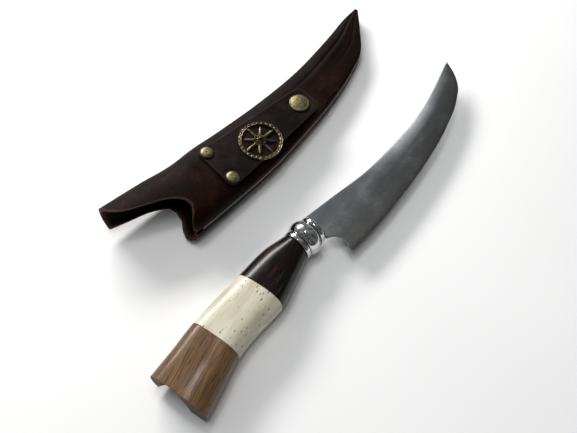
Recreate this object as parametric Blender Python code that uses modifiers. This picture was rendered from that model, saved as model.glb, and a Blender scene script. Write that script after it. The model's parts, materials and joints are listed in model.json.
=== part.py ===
"""Trailing-point sheath knife with a three-part handle, and its folded leather sheath.

Lengths are in metres, +Z is up and +X runs from the butt to the point.  The knife lies on its
side, edge towards -Y, and the sheath lies beside it on the +Y side.  The origin is the centre
of the footprint, on the table.
"""
from math import atan2, cos, pi, radians, sin, tan

import bmesh
import bpy
import numpy as np
from mathutils import Euler, Matrix, Vector

MM = 0.001
GAP = 0.3 * MM                    # clearance kept between neighbouring pieces

# Blade.  Its own frame starts at the bolster's front face: u towards the point, v to the spine.
BLADE_LENGTH = 149.0 * MM
BLADE_THICKNESS = 3.2 * MM
BLADE_TIP_THICKNESS = 1.2 * MM
BEVEL_HEIGHT = 1.8 * MM           # width of the cutting bevel
BEVEL_THICKNESS = 0.8 * MM        # thickness where the bevel starts
EDGE_THICKNESS = 0.12 * MM
HEEL_SETBACK = 3.4 * MM           # from the bolster to the heel
CHOIL_RADIUS = 8.1 * MM
CHOIL_DEPTH = 9.0 * MM            # from the blade's axis down to the top of the choil
# Outlines: share of the blade's length, then millimetres above the blade's axis.
SPINE_LINE = ((0, 8.5), (0.15, 5.9), (0.32, 2.9), (0.52, 3.4), (0.69, 5.9), (0.87, 12.4), (1, 18.6))
EDGE_LINE = ((0, -25.2), (0.14, -25.5), (0.32, -23.6), (0.51, -20.0), (0.72, -13.0), (0.87, -4.4),
             (0.935, 2.2), (0.978, 11.0), (1, 18.0))

# Tang
TANG_WIDTH = 9.0 * MM
TANG_END_WIDTH = 6.0 * MM
TANG_IN_HANDLE = 84.0 * MM
TANG_RISE = 3.0 * MM              # how far it is bent from the blade's line towards the handle's
BEDDING_WALL = 1.0 * MM           # cured epoxy round the tang

# Bolster: three turned rings threaded on the tang, on an axis turned from the handle's
BOLSTER_TURN = radians(8.0)
COLLAR_LENGTH = 4.0 * MM
COLLAR_RADIUS = 8.9 * MM
BARREL_LENGTH = 9.2 * MM
BARREL_RADIUS = 11.0 * MM
BARREL_END_RADIUS = 9.3 * MM
REAR_RING_LENGTH = 3.0 * MM
REAR_RING_RADIUS = 9.6 * MM

# Handle, measured back from the bolster
DARK_WOOD_LENGTH = 34.0 * MM
BONE_LENGTH = 36.0 * MM
BROWN_WOOD_LENGTH = 35.0 * MM
HANDLE_FRONT_RADIUS = 8.7 * MM
HANDLE_THICKNESS = 24.0 * MM
# Stations: share of the handle's length, centre offset, half width (mm), share of the
# thickness, squareness of the section.
HANDLE_STATIONS = ((0.13, 0.8, 12.3, 0.86, 2.2), (0.32, 0.2, 15.0, 0.99, 2.6),
                   (0.50, 2.3, 15.0, 0.99, 2.8), (0.66, 3.3, 15.3, 0.97, 3.0),
                   (0.84, 1.6, 16.8, 0.99, 3.1), (1.00, 0.3, 18.4, 1.0, 3.2))
SCOOP_RADIUS = 12.0 * MM          # thumb scoop in the butt
SCOOP_OFFSET = 5.0 * MM           # scoop's axis, towards the spine
SCOOP_DEPTH_TOP = 0.4 * MM
SCOOP_DEPTH_BOTTOM = 7.5 * MM

# Sheath, in the frame of the sheathed blade
LEATHER = 2.2 * MM
WELT_WIDTH = 4.5 * MM
SPINE_MARGIN = 6.2 * MM           # from the blade's spine to the outside of the fold
EDGE_MARGIN = 6.2 * MM            # from the cutting edge to the outside of the seam
SHEATH_TIP_MARGIN = 9.0 * MM
MOUTH_LENGTH = 67.0 * MM          # from the bolster's front face back to the tongue's end
MOUTH_FOLD_RISE = 12.5 * MM       # fold above the blade's axis at the tongue's end
SEAM_MOUTH_DROP = 35.0 * MM       # seam below the blade's axis at the mouth
MOUTH_HALF_HEIGHT = 14.4 * MM     # over the handle
THROAT_HALF_HEIGHT = 13.6 * MM    # over the bolster's barrel
HEEL_HALF_HEIGHT = 9.2 * MM       # where the sheath has closed down on the blade
BODY_HALF_HEIGHT = 5.8 * MM       # at the middle of the blade
TIP_HALF_HEIGHT = 3.7 * MM
SECTION_SQUARENESS = 2.5
FOLD_SHARE = 0.4                  # of the width, taken by the fold's curve
# Edges of the front and the back panel round the mouth, tongue to seam (u, v in mm)
FRONT_MOUTH = ((-67, 7.5), (-65.5, 3.0), (-61.8, -1.5), (-56.2, -5.1), (-48.3, -8.6), (-39.6, -12.3),
               (-33.5, -16.0), (-29.5, -20.5), (-28.2, -25.5), (-30.2, -30.2), (-33.6, -33.1),
               (-36, -35.2), (-34, -39))
BACK_MOUTH = ((-67, 6.4), (-64, 5.9), (-59, 4.9), (-52.9, 3.6), (-43.8, 1.6), (-37, -1.4),
              (-31.4, -4.9), (-30.3, -10.2), (-31.5, -16.4), (-36, -22.5), (-38.4, -28.1),
              (-37.3, -32.6), (-31, -38.5))

# Where the sheath lies, measured from the bolster's front face
SHEATH_BESIDE = Vector((-2.0 * MM, 81.0 * MM))
SHEATH_TURN = radians(-11.0)

# Strap with its fasteners, in the frame of the sheathed blade
STRAP_START = -4.5 * MM
STRAP_END = 76.0 * MM
STRAP_CENTRE = -16.2 * MM         # strap's middle on its hinge line
STRAP_WIDTH = 32.0 * MM
STRAP_END_WIDTH = 19.0 * MM
STRAP_TURN = radians(1.5)
ROOT_PITCH = radians(8.0)         # slope of the riveted end, lying against the throat
STRAP_CORNER = 4.0 * MM
HINGE_PLACE = 11.5 * MM           # where the strap bends
RIVET_PLACE = -0.2 * MM
RIVET_SPACING = 22.0 * MM
RIVET_CAP_RADIUS = 4.0 * MM
RIVET_CAP_HEIGHT = 1.7 * MM
RIVET_STEM_RADIUS = 1.4 * MM
SNAP_PLACE = 66.5 * MM
SNAP_CAP_RADIUS = 6.2 * MM
SNAP_CAP_HEIGHT = 2.0 * MM
SOCKET_RADIUS = 5.2 * MM
SOCKET_HEIGHT = 2.6 * MM
STUD_RADIUS = 3.0 * MM
STUD_HEIGHT = 2.2 * MM
FLANGE_THICKNESS = 0.6 * MM
CONCHO_PLACE = 29.5 * MM
CONCHO_OFFSET = -3.4 * MM         # from the strap's centre, towards the seam
CONCHO_RADIUS = 13.6 * MM
CONCHO_RING = 3.0 * MM            # width of its rim
CONCHO_THICKNESS = 1.8 * MM
CONCHO_RAYS = 8
CONCHO_SCREW_RADIUS = 1.5 * MM

ROUND_STEPS = 40


# ---------------------------------------------------------------- outlines and sizes they give
def smooth(table, x):
    """Cubic curve through the table's points, with slopes taken from each point's neighbours."""
    px, py = np.array(table, float).T
    slope = np.gradient(py, px)
    i = np.clip(np.searchsorted(px, x, side="right") - 1, 0, len(px) - 2)
    h = px[i + 1] - px[i]
    t = (x - px[i]) / h
    return ((2 * t**3 - 3 * t**2 + 1) * py[i] + (t**3 - 2 * t**2 + t) * h * slope[i]
            + (3 * t**2 - 2 * t**3) * py[i + 1] + (t**3 - t**2) * h * slope[i + 1])


def blade_spine(u):
    return smooth(SPINE_LINE, u / BLADE_LENGTH) * MM


def blade_edge(u):
    return smooth(EDGE_LINE, u / BLADE_LENGTH) * MM


BOLSTER_LENGTH = COLLAR_LENGTH + BARREL_LENGTH + REAR_RING_LENGTH + 2 * GAP
HANDLE_LENGTH = DARK_WOOD_LENGTH + BONE_LENGTH + BROWN_WOOD_LENGTH + 3 * GAP
HANDLE_CENTRE = HANDLE_THICKNESS / 2
SEAM_HALF = 1.5 * LEATHER + GAP
CAVITY_END = BLADE_LENGTH + 2 * MM
SHEATH_END = BLADE_LENGTH + SHEATH_TIP_MARGIN
TANG_TAIL = -BOLSTER_LENGTH - TANG_IN_HANDLE


def fold_line(u):
    """Outside of the sheath's fold: the blade's spine and its margin, then up the tongue."""
    tip = blade_spine(BLADE_LENGTH)
    table = ((-MOUTH_LENGTH, MOUTH_FOLD_RISE), (-0.6 * MOUTH_LENGTH, MOUTH_FOLD_RISE - 2.5 * MM),
             (-BOLSTER_LENGTH, blade_spine(0) - 1.2 * MM), (0, blade_spine(0) + 0.2 * MM),
             (0.15 * BLADE_LENGTH, blade_spine(0.15 * BLADE_LENGTH) + 0.42 * SPINE_MARGIN),
             (0.35 * BLADE_LENGTH, blade_spine(0.35 * BLADE_LENGTH) + 0.9 * SPINE_MARGIN),
             (0.6 * BLADE_LENGTH, blade_spine(0.6 * BLADE_LENGTH) + SPINE_MARGIN),
             (0.85 * BLADE_LENGTH, blade_spine(0.85 * BLADE_LENGTH) + 0.9 * SPINE_MARGIN),
             (BLADE_LENGTH, tip + 0.55 * SPINE_MARGIN),
             (SHEATH_END, tip + 0.65 * SPINE_MARGIN))
    return smooth(table, u)


def seam_line(u):
    """Outside of the seam: the cutting edge and its margin, closing on the fold at the tip."""
    length = BLADE_LENGTH
    table = ((-MOUTH_LENGTH, -SEAM_MOUTH_DROP - 2 * MM),
             (-MOUTH_LENGTH / 2, -SEAM_MOUTH_DROP - 1 * MM), (0, -SEAM_MOUTH_DROP),
             (0.2 * length, blade_edge(0.2 * length) - 1.3 * EDGE_MARGIN),
             (0.4 * length, blade_edge(0.4 * length) - EDGE_MARGIN),
             (0.6 * length, blade_edge(0.6 * length) - 0.8 * EDGE_MARGIN),
             (0.78 * length, blade_edge(0.78 * length) - 0.65 * EDGE_MARGIN),
             (0.9 * length, blade_edge(0.9 * length) - 0.6 * EDGE_MARGIN),
             (0.97 * length, blade_edge(0.97 * length) - 0.65 * EDGE_MARGIN),
             (0.5 * length + 0.5 * SHEATH_END, blade_edge(length) - 0.55 * EDGE_MARGIN),
             (SHEATH_END, fold_line(SHEATH_END) - 3.0 * MM))
    return smooth(table, u)


def half_height(u):
    """Half the sheath's thickness at its crest."""
    table = ((-MOUTH_LENGTH, MOUTH_HALF_HEIGHT), (-BOLSTER_LENGTH - 12 * MM, MOUTH_HALF_HEIGHT),
             (-0.5 * BOLSTER_LENGTH, THROAT_HALF_HEIGHT),
             (0, COLLAR_RADIUS + LEATHER + GAP), (0.06 * BLADE_LENGTH, HEEL_HALF_HEIGHT),
             (0.2 * BLADE_LENGTH, 0.5 * (HEEL_HALF_HEIGHT + BODY_HALF_HEIGHT) - 0.3 * MM),
             (0.45 * BLADE_LENGTH, BODY_HALF_HEIGHT),
             (0.8 * BLADE_LENGTH, 0.5 * (BODY_HALF_HEIGHT + TIP_HALF_HEIGHT)),
             (SHEATH_END, TIP_HALF_HEIGHT))
    return smooth(table, u)


def crest_line(u):
    return fold_line(u) - FOLD_SHARE * (fold_line(u) - seam_line(u))


def panel_height(u, v):
    """Height of the front panel's outer face above the sheath's middle plane."""
    crest, half = crest_line(u), half_height(u)
    n = SECTION_SQUARENESS
    if v < crest:
        q = np.clip((crest - v) / (crest - seam_line(u)), 0, 1)
        return SEAM_HALF + (half - SEAM_HALF) * (1 - q**n) ** (1 / n)
    q = np.clip((v - crest) / (fold_line(u) - crest), 0, 1)
    return half * (1 - q**n) ** (1 / n)


def strap_plane(height, pitch):
    """Plane through the strap's hinge line, in the sheath's frame, at a height over its middle."""
    turn = Euler((STRAP_ROLL, pitch, STRAP_TURN)).to_matrix().to_4x4()
    return Matrix.Translation((HINGE_PLACE, STRAP_CENTRE, height)) @ turn


def panel_levels(plane, x, y, radius):
    """Lowest and highest level of the front panel under a disc on one of the strap's planes."""
    spots = [plane @ Vector((a, b, 0)) for a, b in [(x, y)] + arc((x, y), radius, 0, 2 * pi, 13)]
    levels = [panel_height(spot.x, spot.y) - spot.z for spot in spots]
    return min(levels), max(levels)


# ---------------------------------------------------------------- making objects
def clear_scene():
    for obj in list(bpy.data.objects):
        bpy.data.objects.remove(obj, do_unlink=True)


def new_collection(name):
    collection = bpy.data.collections.new(name)
    bpy.context.scene.collection.children.link(collection)
    return collection


def finish(name, colour, roughness, metallic=0.0):
    material = bpy.data.materials.new(name)
    material.use_nodes = True
    shader = material.node_tree.nodes["Principled BSDF"]
    shader.inputs["Base Color"].default_value = (*colour, 1.0)
    shader.inputs["Roughness"].default_value = roughness
    shader.inputs["Metallic"].default_value = metallic
    material.diffuse_color = (*colour, 1.0)
    return material


def frame_empty(name, parent=None, location=(0, 0, 0), rotation=(0, 0, 0)):
    empty = bpy.data.objects.new(name, None)
    PARTS.objects.link(empty)
    empty.parent = parent
    empty.location = location
    empty.rotation_euler = rotation
    return empty


def add_piece(name, mesh, frame, material):
    piece = bpy.data.objects.new(name, mesh)
    PARTS.objects.link(piece)
    piece.parent = frame
    mesh.materials.append(material)
    return piece


def add_cutter(name, mesh, frame):
    cutter = bpy.data.objects.new(name, mesh)
    CUTTERS.objects.link(cutter)
    cutter.parent = frame
    cutter.hide_render = True
    cutter.display_type = "WIRE"
    return cutter


def cut(piece, cutter, operation="DIFFERENCE"):
    modifier = piece.modifiers.new(cutter.name, "BOOLEAN")
    modifier.operation = operation
    modifier.object = cutter
    modifier.solver = "EXACT"


def mesh_from(bm, name, smooth_angle=None):
    bmesh.ops.recalc_face_normals(bm, faces=bm.faces)
    mesh = bpy.data.meshes.new(name)
    bm.to_mesh(mesh)
    bm.free()
    if smooth_angle is not None:
        mesh.shade_smooth()
        mesh.set_sharp_from_angle(angle=smooth_angle)
    return mesh


def loft(name, rings, smooth_angle=radians(35)):
    """Closed solid through rings of equal numbers of points, with flat ends."""
    bm = bmesh.new()
    rows = [[bm.verts.new(point) for point in ring] for ring in rings]
    for a, b in zip(rows, rows[1:]):
        for i in range(len(a)):
            j = (i + 1) % len(a)
            bm.faces.new((a[i], a[j], b[j], b[i]))
    bm.faces.new(rows[0][::-1])
    bm.faces.new(rows[-1])
    return mesh_from(bm, name, smooth_angle)


def turned(name, frame, profile, material, location=(0, 0, 0), rotation=(0, 0, 0)):
    """Piece turned about its own Z from (radius, height) points, listed from the top down."""
    bm = bmesh.new()
    verts = [bm.verts.new((radius, 0, height)) for radius, height in profile]
    for a, b in zip(verts, verts[1:]):
        bm.edges.new((a, b))
    if profile[0][0] > 0:
        bm.edges.new((verts[-1], verts[0]))
    mesh = bpy.data.meshes.new(name)
    bm.to_mesh(mesh)
    bm.free()
    piece = add_piece(name, mesh, frame, material)
    piece.location = location
    piece.rotation_euler = rotation
    screw = piece.modifiers.new("turn", "SCREW")
    screw.steps = screw.render_steps = ROUND_STEPS
    screw.use_merge_vertices = True
    screw.merge_threshold = 0.00001
    screw.use_smooth_shade = True
    return piece


def plate(name, outline, bottom, top):
    """Solid with the same outline from bottom to top, made from a filled 2D curve."""
    curve = bpy.data.curves.new(name, "CURVE")
    curve.dimensions = "2D"
    curve.fill_mode = "BOTH"
    curve.extrude = (top - bottom) / 2
    for loop in outline:
        spline = curve.splines.new("POLY")
        spline.points.add(len(loop) - 1)
        spline.use_cyclic_u = True
        for point, (x, y) in zip(spline.points, loop):
            point.co = (x, y, 0, 1)
    holder = bpy.data.objects.new(name, curve)
    bpy.context.scene.collection.objects.link(holder)
    bpy.context.view_layer.update()
    evaluated = holder.evaluated_get(bpy.context.evaluated_depsgraph_get())
    mesh = bpy.data.meshes.new_from_object(evaluated)
    bpy.data.objects.remove(holder, do_unlink=True)
    mesh.transform(Matrix.Translation((0, 0, (top + bottom) / 2)))
    bm = bmesh.new()
    bm.from_mesh(mesh)
    bmesh.ops.remove_doubles(bm, verts=bm.verts, dist=0.000001)
    bpy.data.meshes.remove(mesh)
    return mesh_from(bm, name)


def arc(centre, radius, start, end, steps):
    angles = np.linspace(start, end, steps)
    return [(centre[0] + radius * cos(a), centre[1] + radius * sin(a)) for a in angles]


def pin_cutter(name, frame, radius, bottom, top, x=0.0, y=0.0):
    circle = arc((x, y), radius, 0, 2 * pi * 31 / 32, 32)
    return add_cutter(name, plate(name, [circle], bottom, top), frame)


# ---------------------------------------------------------------- knife
def tang_bar(name, grow, start, end):
    """Tapered bar along the tang, grown by a clearance, from start to end behind the blade."""
    drop = TANG_RISE - TANG_IN_HANDLE * sin(BOLSTER_TURN)
    bend = -BOLSTER_LENGTH
    stations = [start, bend, end] if end < bend < start else [start, end]
    rings = []
    for u in stations:
        share = max(0.0, (bend - u) / TANG_IN_HANDLE)
        half = (TANG_WIDTH + (TANG_END_WIDTH - TANG_WIDTH) * share) / 2 + grow
        top, low = drop * share + half, drop * share - half
        z = 0.95 * BLADE_THICKNESS / 2 + grow
        rings.append([(u, top, z), (u, low, z), (u, low, -z), (u, top, -z)])
    return loft(name, rings, None)


def blade():
    """Flat-ground blade and stick tang in one piece, with a cutting bevel and a finger choil."""
    rings = []
    for share in np.concatenate([np.linspace(0, 0.84, 22), np.linspace(0.87, 0.997, 10)]):
        u = share * BLADE_LENGTH
        top, low = blade_spine(u), blade_edge(u)
        bevel = min(BEVEL_HEIGHT, 0.3 * (top - low))
        thick = BLADE_THICKNESS - (BLADE_THICKNESS - BLADE_TIP_THICKNESS) * share**2.2
        shoulder = min(BEVEL_THICKNESS, 0.7 * thick)
        ring = [(top, thick / 2), (low + bevel, shoulder / 2), (low, EDGE_THICKNESS / 2)]
        rings.append([(u, v, z) for v, z in ring] + [(u, v, -z) for v, z in ring[::-1]])
    body = add_piece("blade", loft("blade", rings, radians(20)), BLADE_FRAME, STEEL)
    cut(body, add_cutter("tang_union", tang_bar("tang_union", 0, 1 * MM, TANG_TAIL), BLADE_FRAME), "UNION")
    centre = (HEEL_SETBACK - 0.75 * CHOIL_RADIUS, -CHOIL_DEPTH - CHOIL_RADIUS)
    drop = blade_edge(0) - 4 * MM
    notch = arc(centre, CHOIL_RADIUS, radians(160), radians(-40), 22)
    notch += [(HEEL_SETBACK + 0.5 * MM, drop), (centre[0] - CHOIL_RADIUS, drop)]
    choil = plate("choil", [notch], -BLADE_THICKNESS, BLADE_THICKNESS)
    cut(body, add_cutter("choil", choil, BLADE_FRAME))


def bolster_ring(name, front, length, profile, slot):
    """Turned ring on the bolster's axis.  Profile points are (radius, share of its length)."""
    outline = [(0, length)] + [(radius, length * share) for radius, share in profile] + [(0, 0)]
    ring = turned(name, BLADE_FRAME, outline, NICKEL, (front - length, 0, 0), (0, pi / 2, 0))
    cut(ring, slot)


def bolster():
    bar = tang_bar("bolster_slot", GAP, 2 * MM, -BOLSTER_LENGTH - 2 * MM)
    slot = add_cutter("bolster_slot", bar, BLADE_FRAME)
    r = COLLAR_RADIUS
    collar = [(0.86 * r, 1), (0.95 * r, 0.94), (r, 0.72), (r, 0.42), (0.97 * r, 0.15), (0.9 * r, 0)]
    bolster_ring("bolster_front_collar", -GAP, COLLAR_LENGTH - GAP, collar, slot)
    crown = [(BARREL_END_RADIUS + (BARREL_RADIUS - BARREL_END_RADIUS) * sin(pi * t) ** 0.6, 1 - t)
             for t in np.linspace(0, 1, 13)]
    front = -COLLAR_LENGTH - GAP
    bolster_ring("bolster_barrel", front, BARREL_LENGTH, crown, slot)
    r = REAR_RING_RADIUS
    rear = [(0.94 * r, 1), (r, 0.8), (r, 0.25), (0.96 * r, 0)]
    bolster_ring("bolster_rear_ring", front - BARREL_LENGTH - GAP, REAR_RING_LENGTH, rear, slot)


def handle_ring(back):
    """Section of the handle at a distance behind the bolster, leaning with it at the front."""
    front = HANDLE_FRONT_RADIUS / MM
    share = np.clip(back / HANDLE_LENGTH, 0, 1)
    rows = ((0, 0, front, 2 * HANDLE_FRONT_RADIUS / HANDLE_THICKNESS, 2.0), *HANDLE_STATIONS)
    centre, half, thick, square = (smooth([(row[0], row[k]) for row in rows], share) for k in (1, 2, 3, 4))
    lean = tan(BOLSTER_TURN) * max(0.0, 1 - back / DARK_WOOD_LENGTH)
    points = []
    for angle in np.linspace(0, 2 * pi, ROUND_STEPS, endpoint=False):
        c, s = cos(angle), sin(angle)
        y = centre * MM + half * MM * np.sign(c) * abs(c) ** (2 / square)
        z = HANDLE_THICKNESS / 2 * thick * np.sign(s) * abs(s) ** (2 / square)
        points.append((-back + lean * y, y, z))
    return points


def handle():
    """Dark wood, bone and brown wood blocks on the bedded tang, with a scoop in the butt."""
    hollow = 2 * GAP + BEDDING_WALL
    wide = tang_bar("tang_hole", hollow, -BOLSTER_LENGTH + 2 * MM, TANG_TAIL - hollow)
    hole = add_cutter("tang_hole", wide, BLADE_FRAME)
    front = -BOLSTER_LENGTH - 2 * GAP - 0.5 * MM
    outer = tang_bar("tang_bedding", GAP + BEDDING_WALL, front, TANG_TAIL - GAP - BEDDING_WALL)
    bedding = add_piece("tang_bedding", outer, BLADE_FRAME, EPOXY)
    room = tang_bar("bedding_room", GAP, -BOLSTER_LENGTH + 2 * MM, TANG_TAIL - GAP)
    cut(bedding, add_cutter("bedding_room", room, BLADE_FRAME))

    tilt = atan2(SCOOP_DEPTH_BOTTOM - SCOOP_DEPTH_TOP, HANDLE_THICKNESS)
    depth = (SCOOP_DEPTH_BOTTOM + SCOOP_DEPTH_TOP) / 2
    scoop_mesh = plate("butt_scoop", [arc((0, 0), SCOOP_RADIUS, 0, 2 * pi * 39 / 40, 40)],
                       -HANDLE_THICKNESS, HANDLE_THICKNESS)
    scoop = add_cutter("butt_scoop", scoop_mesh, HANDLE_FRAME)
    scoop.location = (-HANDLE_LENGTH + depth - SCOOP_RADIUS, SCOOP_OFFSET, 0)
    scoop.rotation_euler = (0, -tilt, 0)

    start = GAP
    blocks = (("handle_dark_wood", DARK_WOOD_LENGTH, DARK_WOOD), ("handle_bone", BONE_LENGTH, BONE),
              ("handle_brown_wood", BROWN_WOOD_LENGTH, BROWN_WOOD))
    for name, length, material in blocks:
        rings = [handle_ring(back) for back in np.linspace(start, start + length, 10)]
        block = add_piece(name, loft(name, rings), HANDLE_FRAME, material)
        cut(block, hole)
        if name == "handle_brown_wood":
            cut(block, scoop)
        start += length + GAP


# ---------------------------------------------------------------- sheath
def sheath_ring(u, inset=0.0, welt=0.0):
    """Closed section of the sheath at u, moved in by a wall and, at the seam, by the welt."""
    low, high = seam_line(u) + welt, fold_line(u) - inset
    crest = max(crest_line(u), low + 0.5 * MM)
    over = [low + (crest - low) * (1 - (1 - t) ** 1.6) for t in np.linspace(0, 1, 9)]
    top = [(v, max(panel_height(u, v) - inset, 0.4 * MM)) for v in over]
    half, n = half_height(u) - inset, SECTION_SQUARENESS
    fold = []
    for angle in np.linspace(pi / 2, -pi / 2, 17)[1:-1]:
        c, s = cos(angle), sin(angle)
        fold.append((crest + (high - crest) * c ** (2 / n), half * np.sign(s) * abs(s) ** (2 / n)))
    return [(u, v, z) for v, z in top + fold + [(v, -z) for v, z in top[::-1]]]


def sheath():
    """Folded leather body and the welt glued into its seam."""
    stations = np.concatenate([np.linspace(-MOUTH_LENGTH, 0.85 * BLADE_LENGTH, 24),
                               np.linspace(0.9 * BLADE_LENGTH, SHEATH_END, 9)])
    leather = add_piece("sheath_leather", loft("sheath_leather", [sheath_ring(u) for u in stations]),
                        SHEATH_FRAME, LEATHER_DARK)
    inner = [u for u in stations[1:] if u < CAVITY_END - 3 * MM]
    inner = [-MOUTH_LENGTH - 1 * MM, *inner, CAVITY_END]
    cavity = loft("blade_cavity", [sheath_ring(u, LEATHER, WELT_WIDTH) for u in inner])
    cut(leather, add_cutter("blade_cavity", cavity, SHEATH_FRAME))

    def strip(name, grow, start, end):
        rings = []
        for u in np.linspace(start, end, 28):
            low, high = seam_line(u) - (4 * MM if grow else 0), seam_line(u) + WELT_WIDTH + grow
            z = LEATHER / 2 + grow
            rings.append([(u, high, z), (u, low, z), (u, low, -z), (u, high, -z)])
        return loft(name, rings, None)

    end = 0.955 * BLADE_LENGTH
    slot = strip("welt_slot", GAP, -MOUTH_LENGTH - 5 * MM, end + GAP)
    cut(leather, add_cutter("welt_slot", slot, SHEATH_FRAME))
    strip_mesh = strip("sheath_welt", 0, -MOUTH_LENGTH, end)
    welt = add_piece("sheath_welt", strip_mesh, SHEATH_FRAME, LEATHER_RAW)

    half, reach, far = MOUTH_HALF_HEIGHT, 2 * MOUTH_HALF_HEIGHT, -MOUTH_LENGTH - 15 * MM
    rings = []
    for z, share in ((-reach, 0.0), (-half, 0.0), (half, 1.0), (reach, 1.0)):
        edge = [((a + (b - a) * share) * MM, (c + (d - c) * share) * MM)
                for (a, c), (b, d) in zip(BACK_MOUTH, FRONT_MOUTH)]
        low = -SEAM_MOUTH_DROP - 15 * MM
        outline = [(far, edge[0][1]), *edge, (edge[-1][0], low), (far, low)]
        rings.append([(u, v, z) for u, v in outline])
    mouth = add_cutter("mouth", loft("mouth", rings, None), SHEATH_FRAME)
    cut(leather, mouth)
    cut(welt, mouth)
    return leather


# ---------------------------------------------------------------- strap and fasteners
def strap_outline(start, end):
    """Tapered strap between two stations, with round corners where it really ends."""
    def half(u):
        share = (u - STRAP_START) / (STRAP_END - STRAP_START)
        return (STRAP_WIDTH + (STRAP_END_WIDTH - STRAP_WIDTH) * share) / 2

    r = STRAP_CORNER
    points = []
    if end == STRAP_END:
        u, edge = end - r, half(end - r) - r
        points += arc((u, -edge), r, -pi / 2, 0, 7) + arc((u, edge), r, 0, pi / 2, 7)
    else:
        points += [(end, -half(end)), (end, half(end))]
    if start == STRAP_START:
        u, edge = start + r, half(start + r) - r
        points += arc((u, edge), r, pi / 2, pi, 7) + arc((u, -edge), r, pi, 3 * pi / 2, 7)
    else:
        points += [(start, half(start)), (start, -half(start))]
    return [(u - HINGE_PLACE, v) for u, v in points]


def strap(leather):
    """Belt strap: riveted at one end, snapped shut at the other.  It bends at the hinge line."""
    outline = strap_outline(STRAP_START, HINGE_PLACE - GAP / 2)
    root = add_piece("strap_root", plate("strap_root", [outline], 0, LEATHER), ROOT_FRAME, LEATHER_STRAP)
    outline = strap_outline(HINGE_PLACE + GAP / 2, STRAP_END)
    flap = add_piece("strap_flap", plate("strap_flap", [outline], -LEATHER, 0), FLAP_FRAME, LEATHER_STRAP)
    for name, side in (("spine", 1), ("edge", -1)):
        rivet(name, RIVET_PLACE - HINGE_PLACE, side * RIVET_SPACING / 2, root, leather)
    snap(SNAP_PLACE - HINGE_PLACE, flap, leather)
    concho(CONCHO_PLACE - HINGE_PLACE, CONCHO_OFFSET, flap)


def rivet(name, x, y, root, leather):
    """Double-cap rivet: a post from inside the front panel, and a cap pressed over its end."""
    stem, flange = RIVET_STEM_RADIUS, 0.65 * RIVET_CAP_RADIUS
    r, h = RIVET_CAP_RADIUS, RIVET_CAP_HEIGHT
    base = panel_levels(ROOT_PLANE, x, y, flange)[0] - LEATHER - 3 * GAP
    hole = pin_cutter(f"rivet_hole_{name}", ROOT_FRAME, stem + GAP, base - 3 * MM, LEATHER + 1 * MM, x, y)
    cut(root, hole)
    cut(leather, hole)
    post = [(0, LEATHER + 0.7 * h), (stem, LEATHER + 0.7 * h), (stem, base), (flange, base - 0.1 * MM),
            (flange, base - FLANGE_THICKNESS), (0, base - FLANGE_THICKNESS)]
    turned(f"rivet_post_{name}", ROOT_FRAME, post, BRASS, (x, y, 0))
    low = LEATHER + GAP
    cap = [(0, low + h), (0.5 * r, low + 0.93 * h), (0.85 * r, low + 0.68 * h), (r, low + 0.28 * h),
           (0.97 * r, low), (stem + GAP, low), (stem + GAP, low + 0.7 * h), (0, low + 0.7 * h)]
    turned(f"rivet_cap_{name}", ROOT_FRAME, cap, BRASS, (x, y, 0))


def snap(x, flap, leather):
    """Press snap: cap and socket pressed together through the flap, stud and post on the sheath."""
    stem, flange = 0.5 * STUD_RADIUS, 0.85 * SOCKET_RADIUS
    panel, crown = panel_levels(FLAP_PLANE, x, 0, flange)
    seat = crown + GAP
    base = panel - LEATHER - 2 * GAP
    cut(leather, pin_cutter("stud_hole", SNAP_FRAME, stem + GAP, base - 3 * MM, panel + 3 * MM, x))
    r, h = STUD_RADIUS, STUD_HEIGHT
    stud = [(0, seat + h), (0.75 * r, seat + h), (r, seat + 0.78 * h), (r, seat + 0.55 * h),
            (0.8 * r, seat + 0.4 * h), (0.8 * r, seat + FLANGE_THICKNESS),
            (flange, seat + FLANGE_THICKNESS), (flange, seat), (stem + GAP, seat),
            (stem + GAP, seat + 0.7 * h), (0, seat + 0.7 * h)]
    turned("snap_stud", SNAP_FRAME, stud, BRASS, (x, 0, 0))
    post = [(0, seat + 0.55 * h), (stem, seat + 0.55 * h), (stem, base), (flange, base),
            (flange, base - FLANGE_THICKNESS), (0, base - FLANGE_THICKNESS)]
    turned("snap_post", SNAP_FRAME, post, BRASS, (x, 0, 0))

    cut(flap, pin_cutter("cap_hole", FLAP_FRAME, stem + GAP, -LEATHER - 1 * MM, 1 * MM, x))
    under = -LEATHER - GAP
    r, h, inside = SOCKET_RADIUS, SOCKET_HEIGHT, STUD_RADIUS + GAP
    socket = [(stem + GAP, under), (0.9 * r, under), (r, under - 0.3 * h), (r, under - 0.8 * h),
              (0.92 * r, under - h), (inside, under - h), (inside, under - 0.5 * MM),
              (stem + GAP, under - 0.5 * MM)]
    turned("snap_socket", FLAP_FRAME, socket, BRASS, (x, 0, 0))
    r, h = SNAP_CAP_RADIUS, SNAP_CAP_HEIGHT
    cap = [(0, GAP + h), (0.45 * r, GAP + 0.97 * h), (0.8 * r, GAP + 0.8 * h), (0.97 * r, GAP + 0.45 * h),
           (r, GAP + 0.15 * h), (0.97 * r, GAP), (stem, GAP), (stem, under - 0.2 * MM),
           (0, under - 0.2 * MM)]
    turned("snap_cap", FLAP_FRAME, cap, BRASS, (x, 0, 0))


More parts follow.
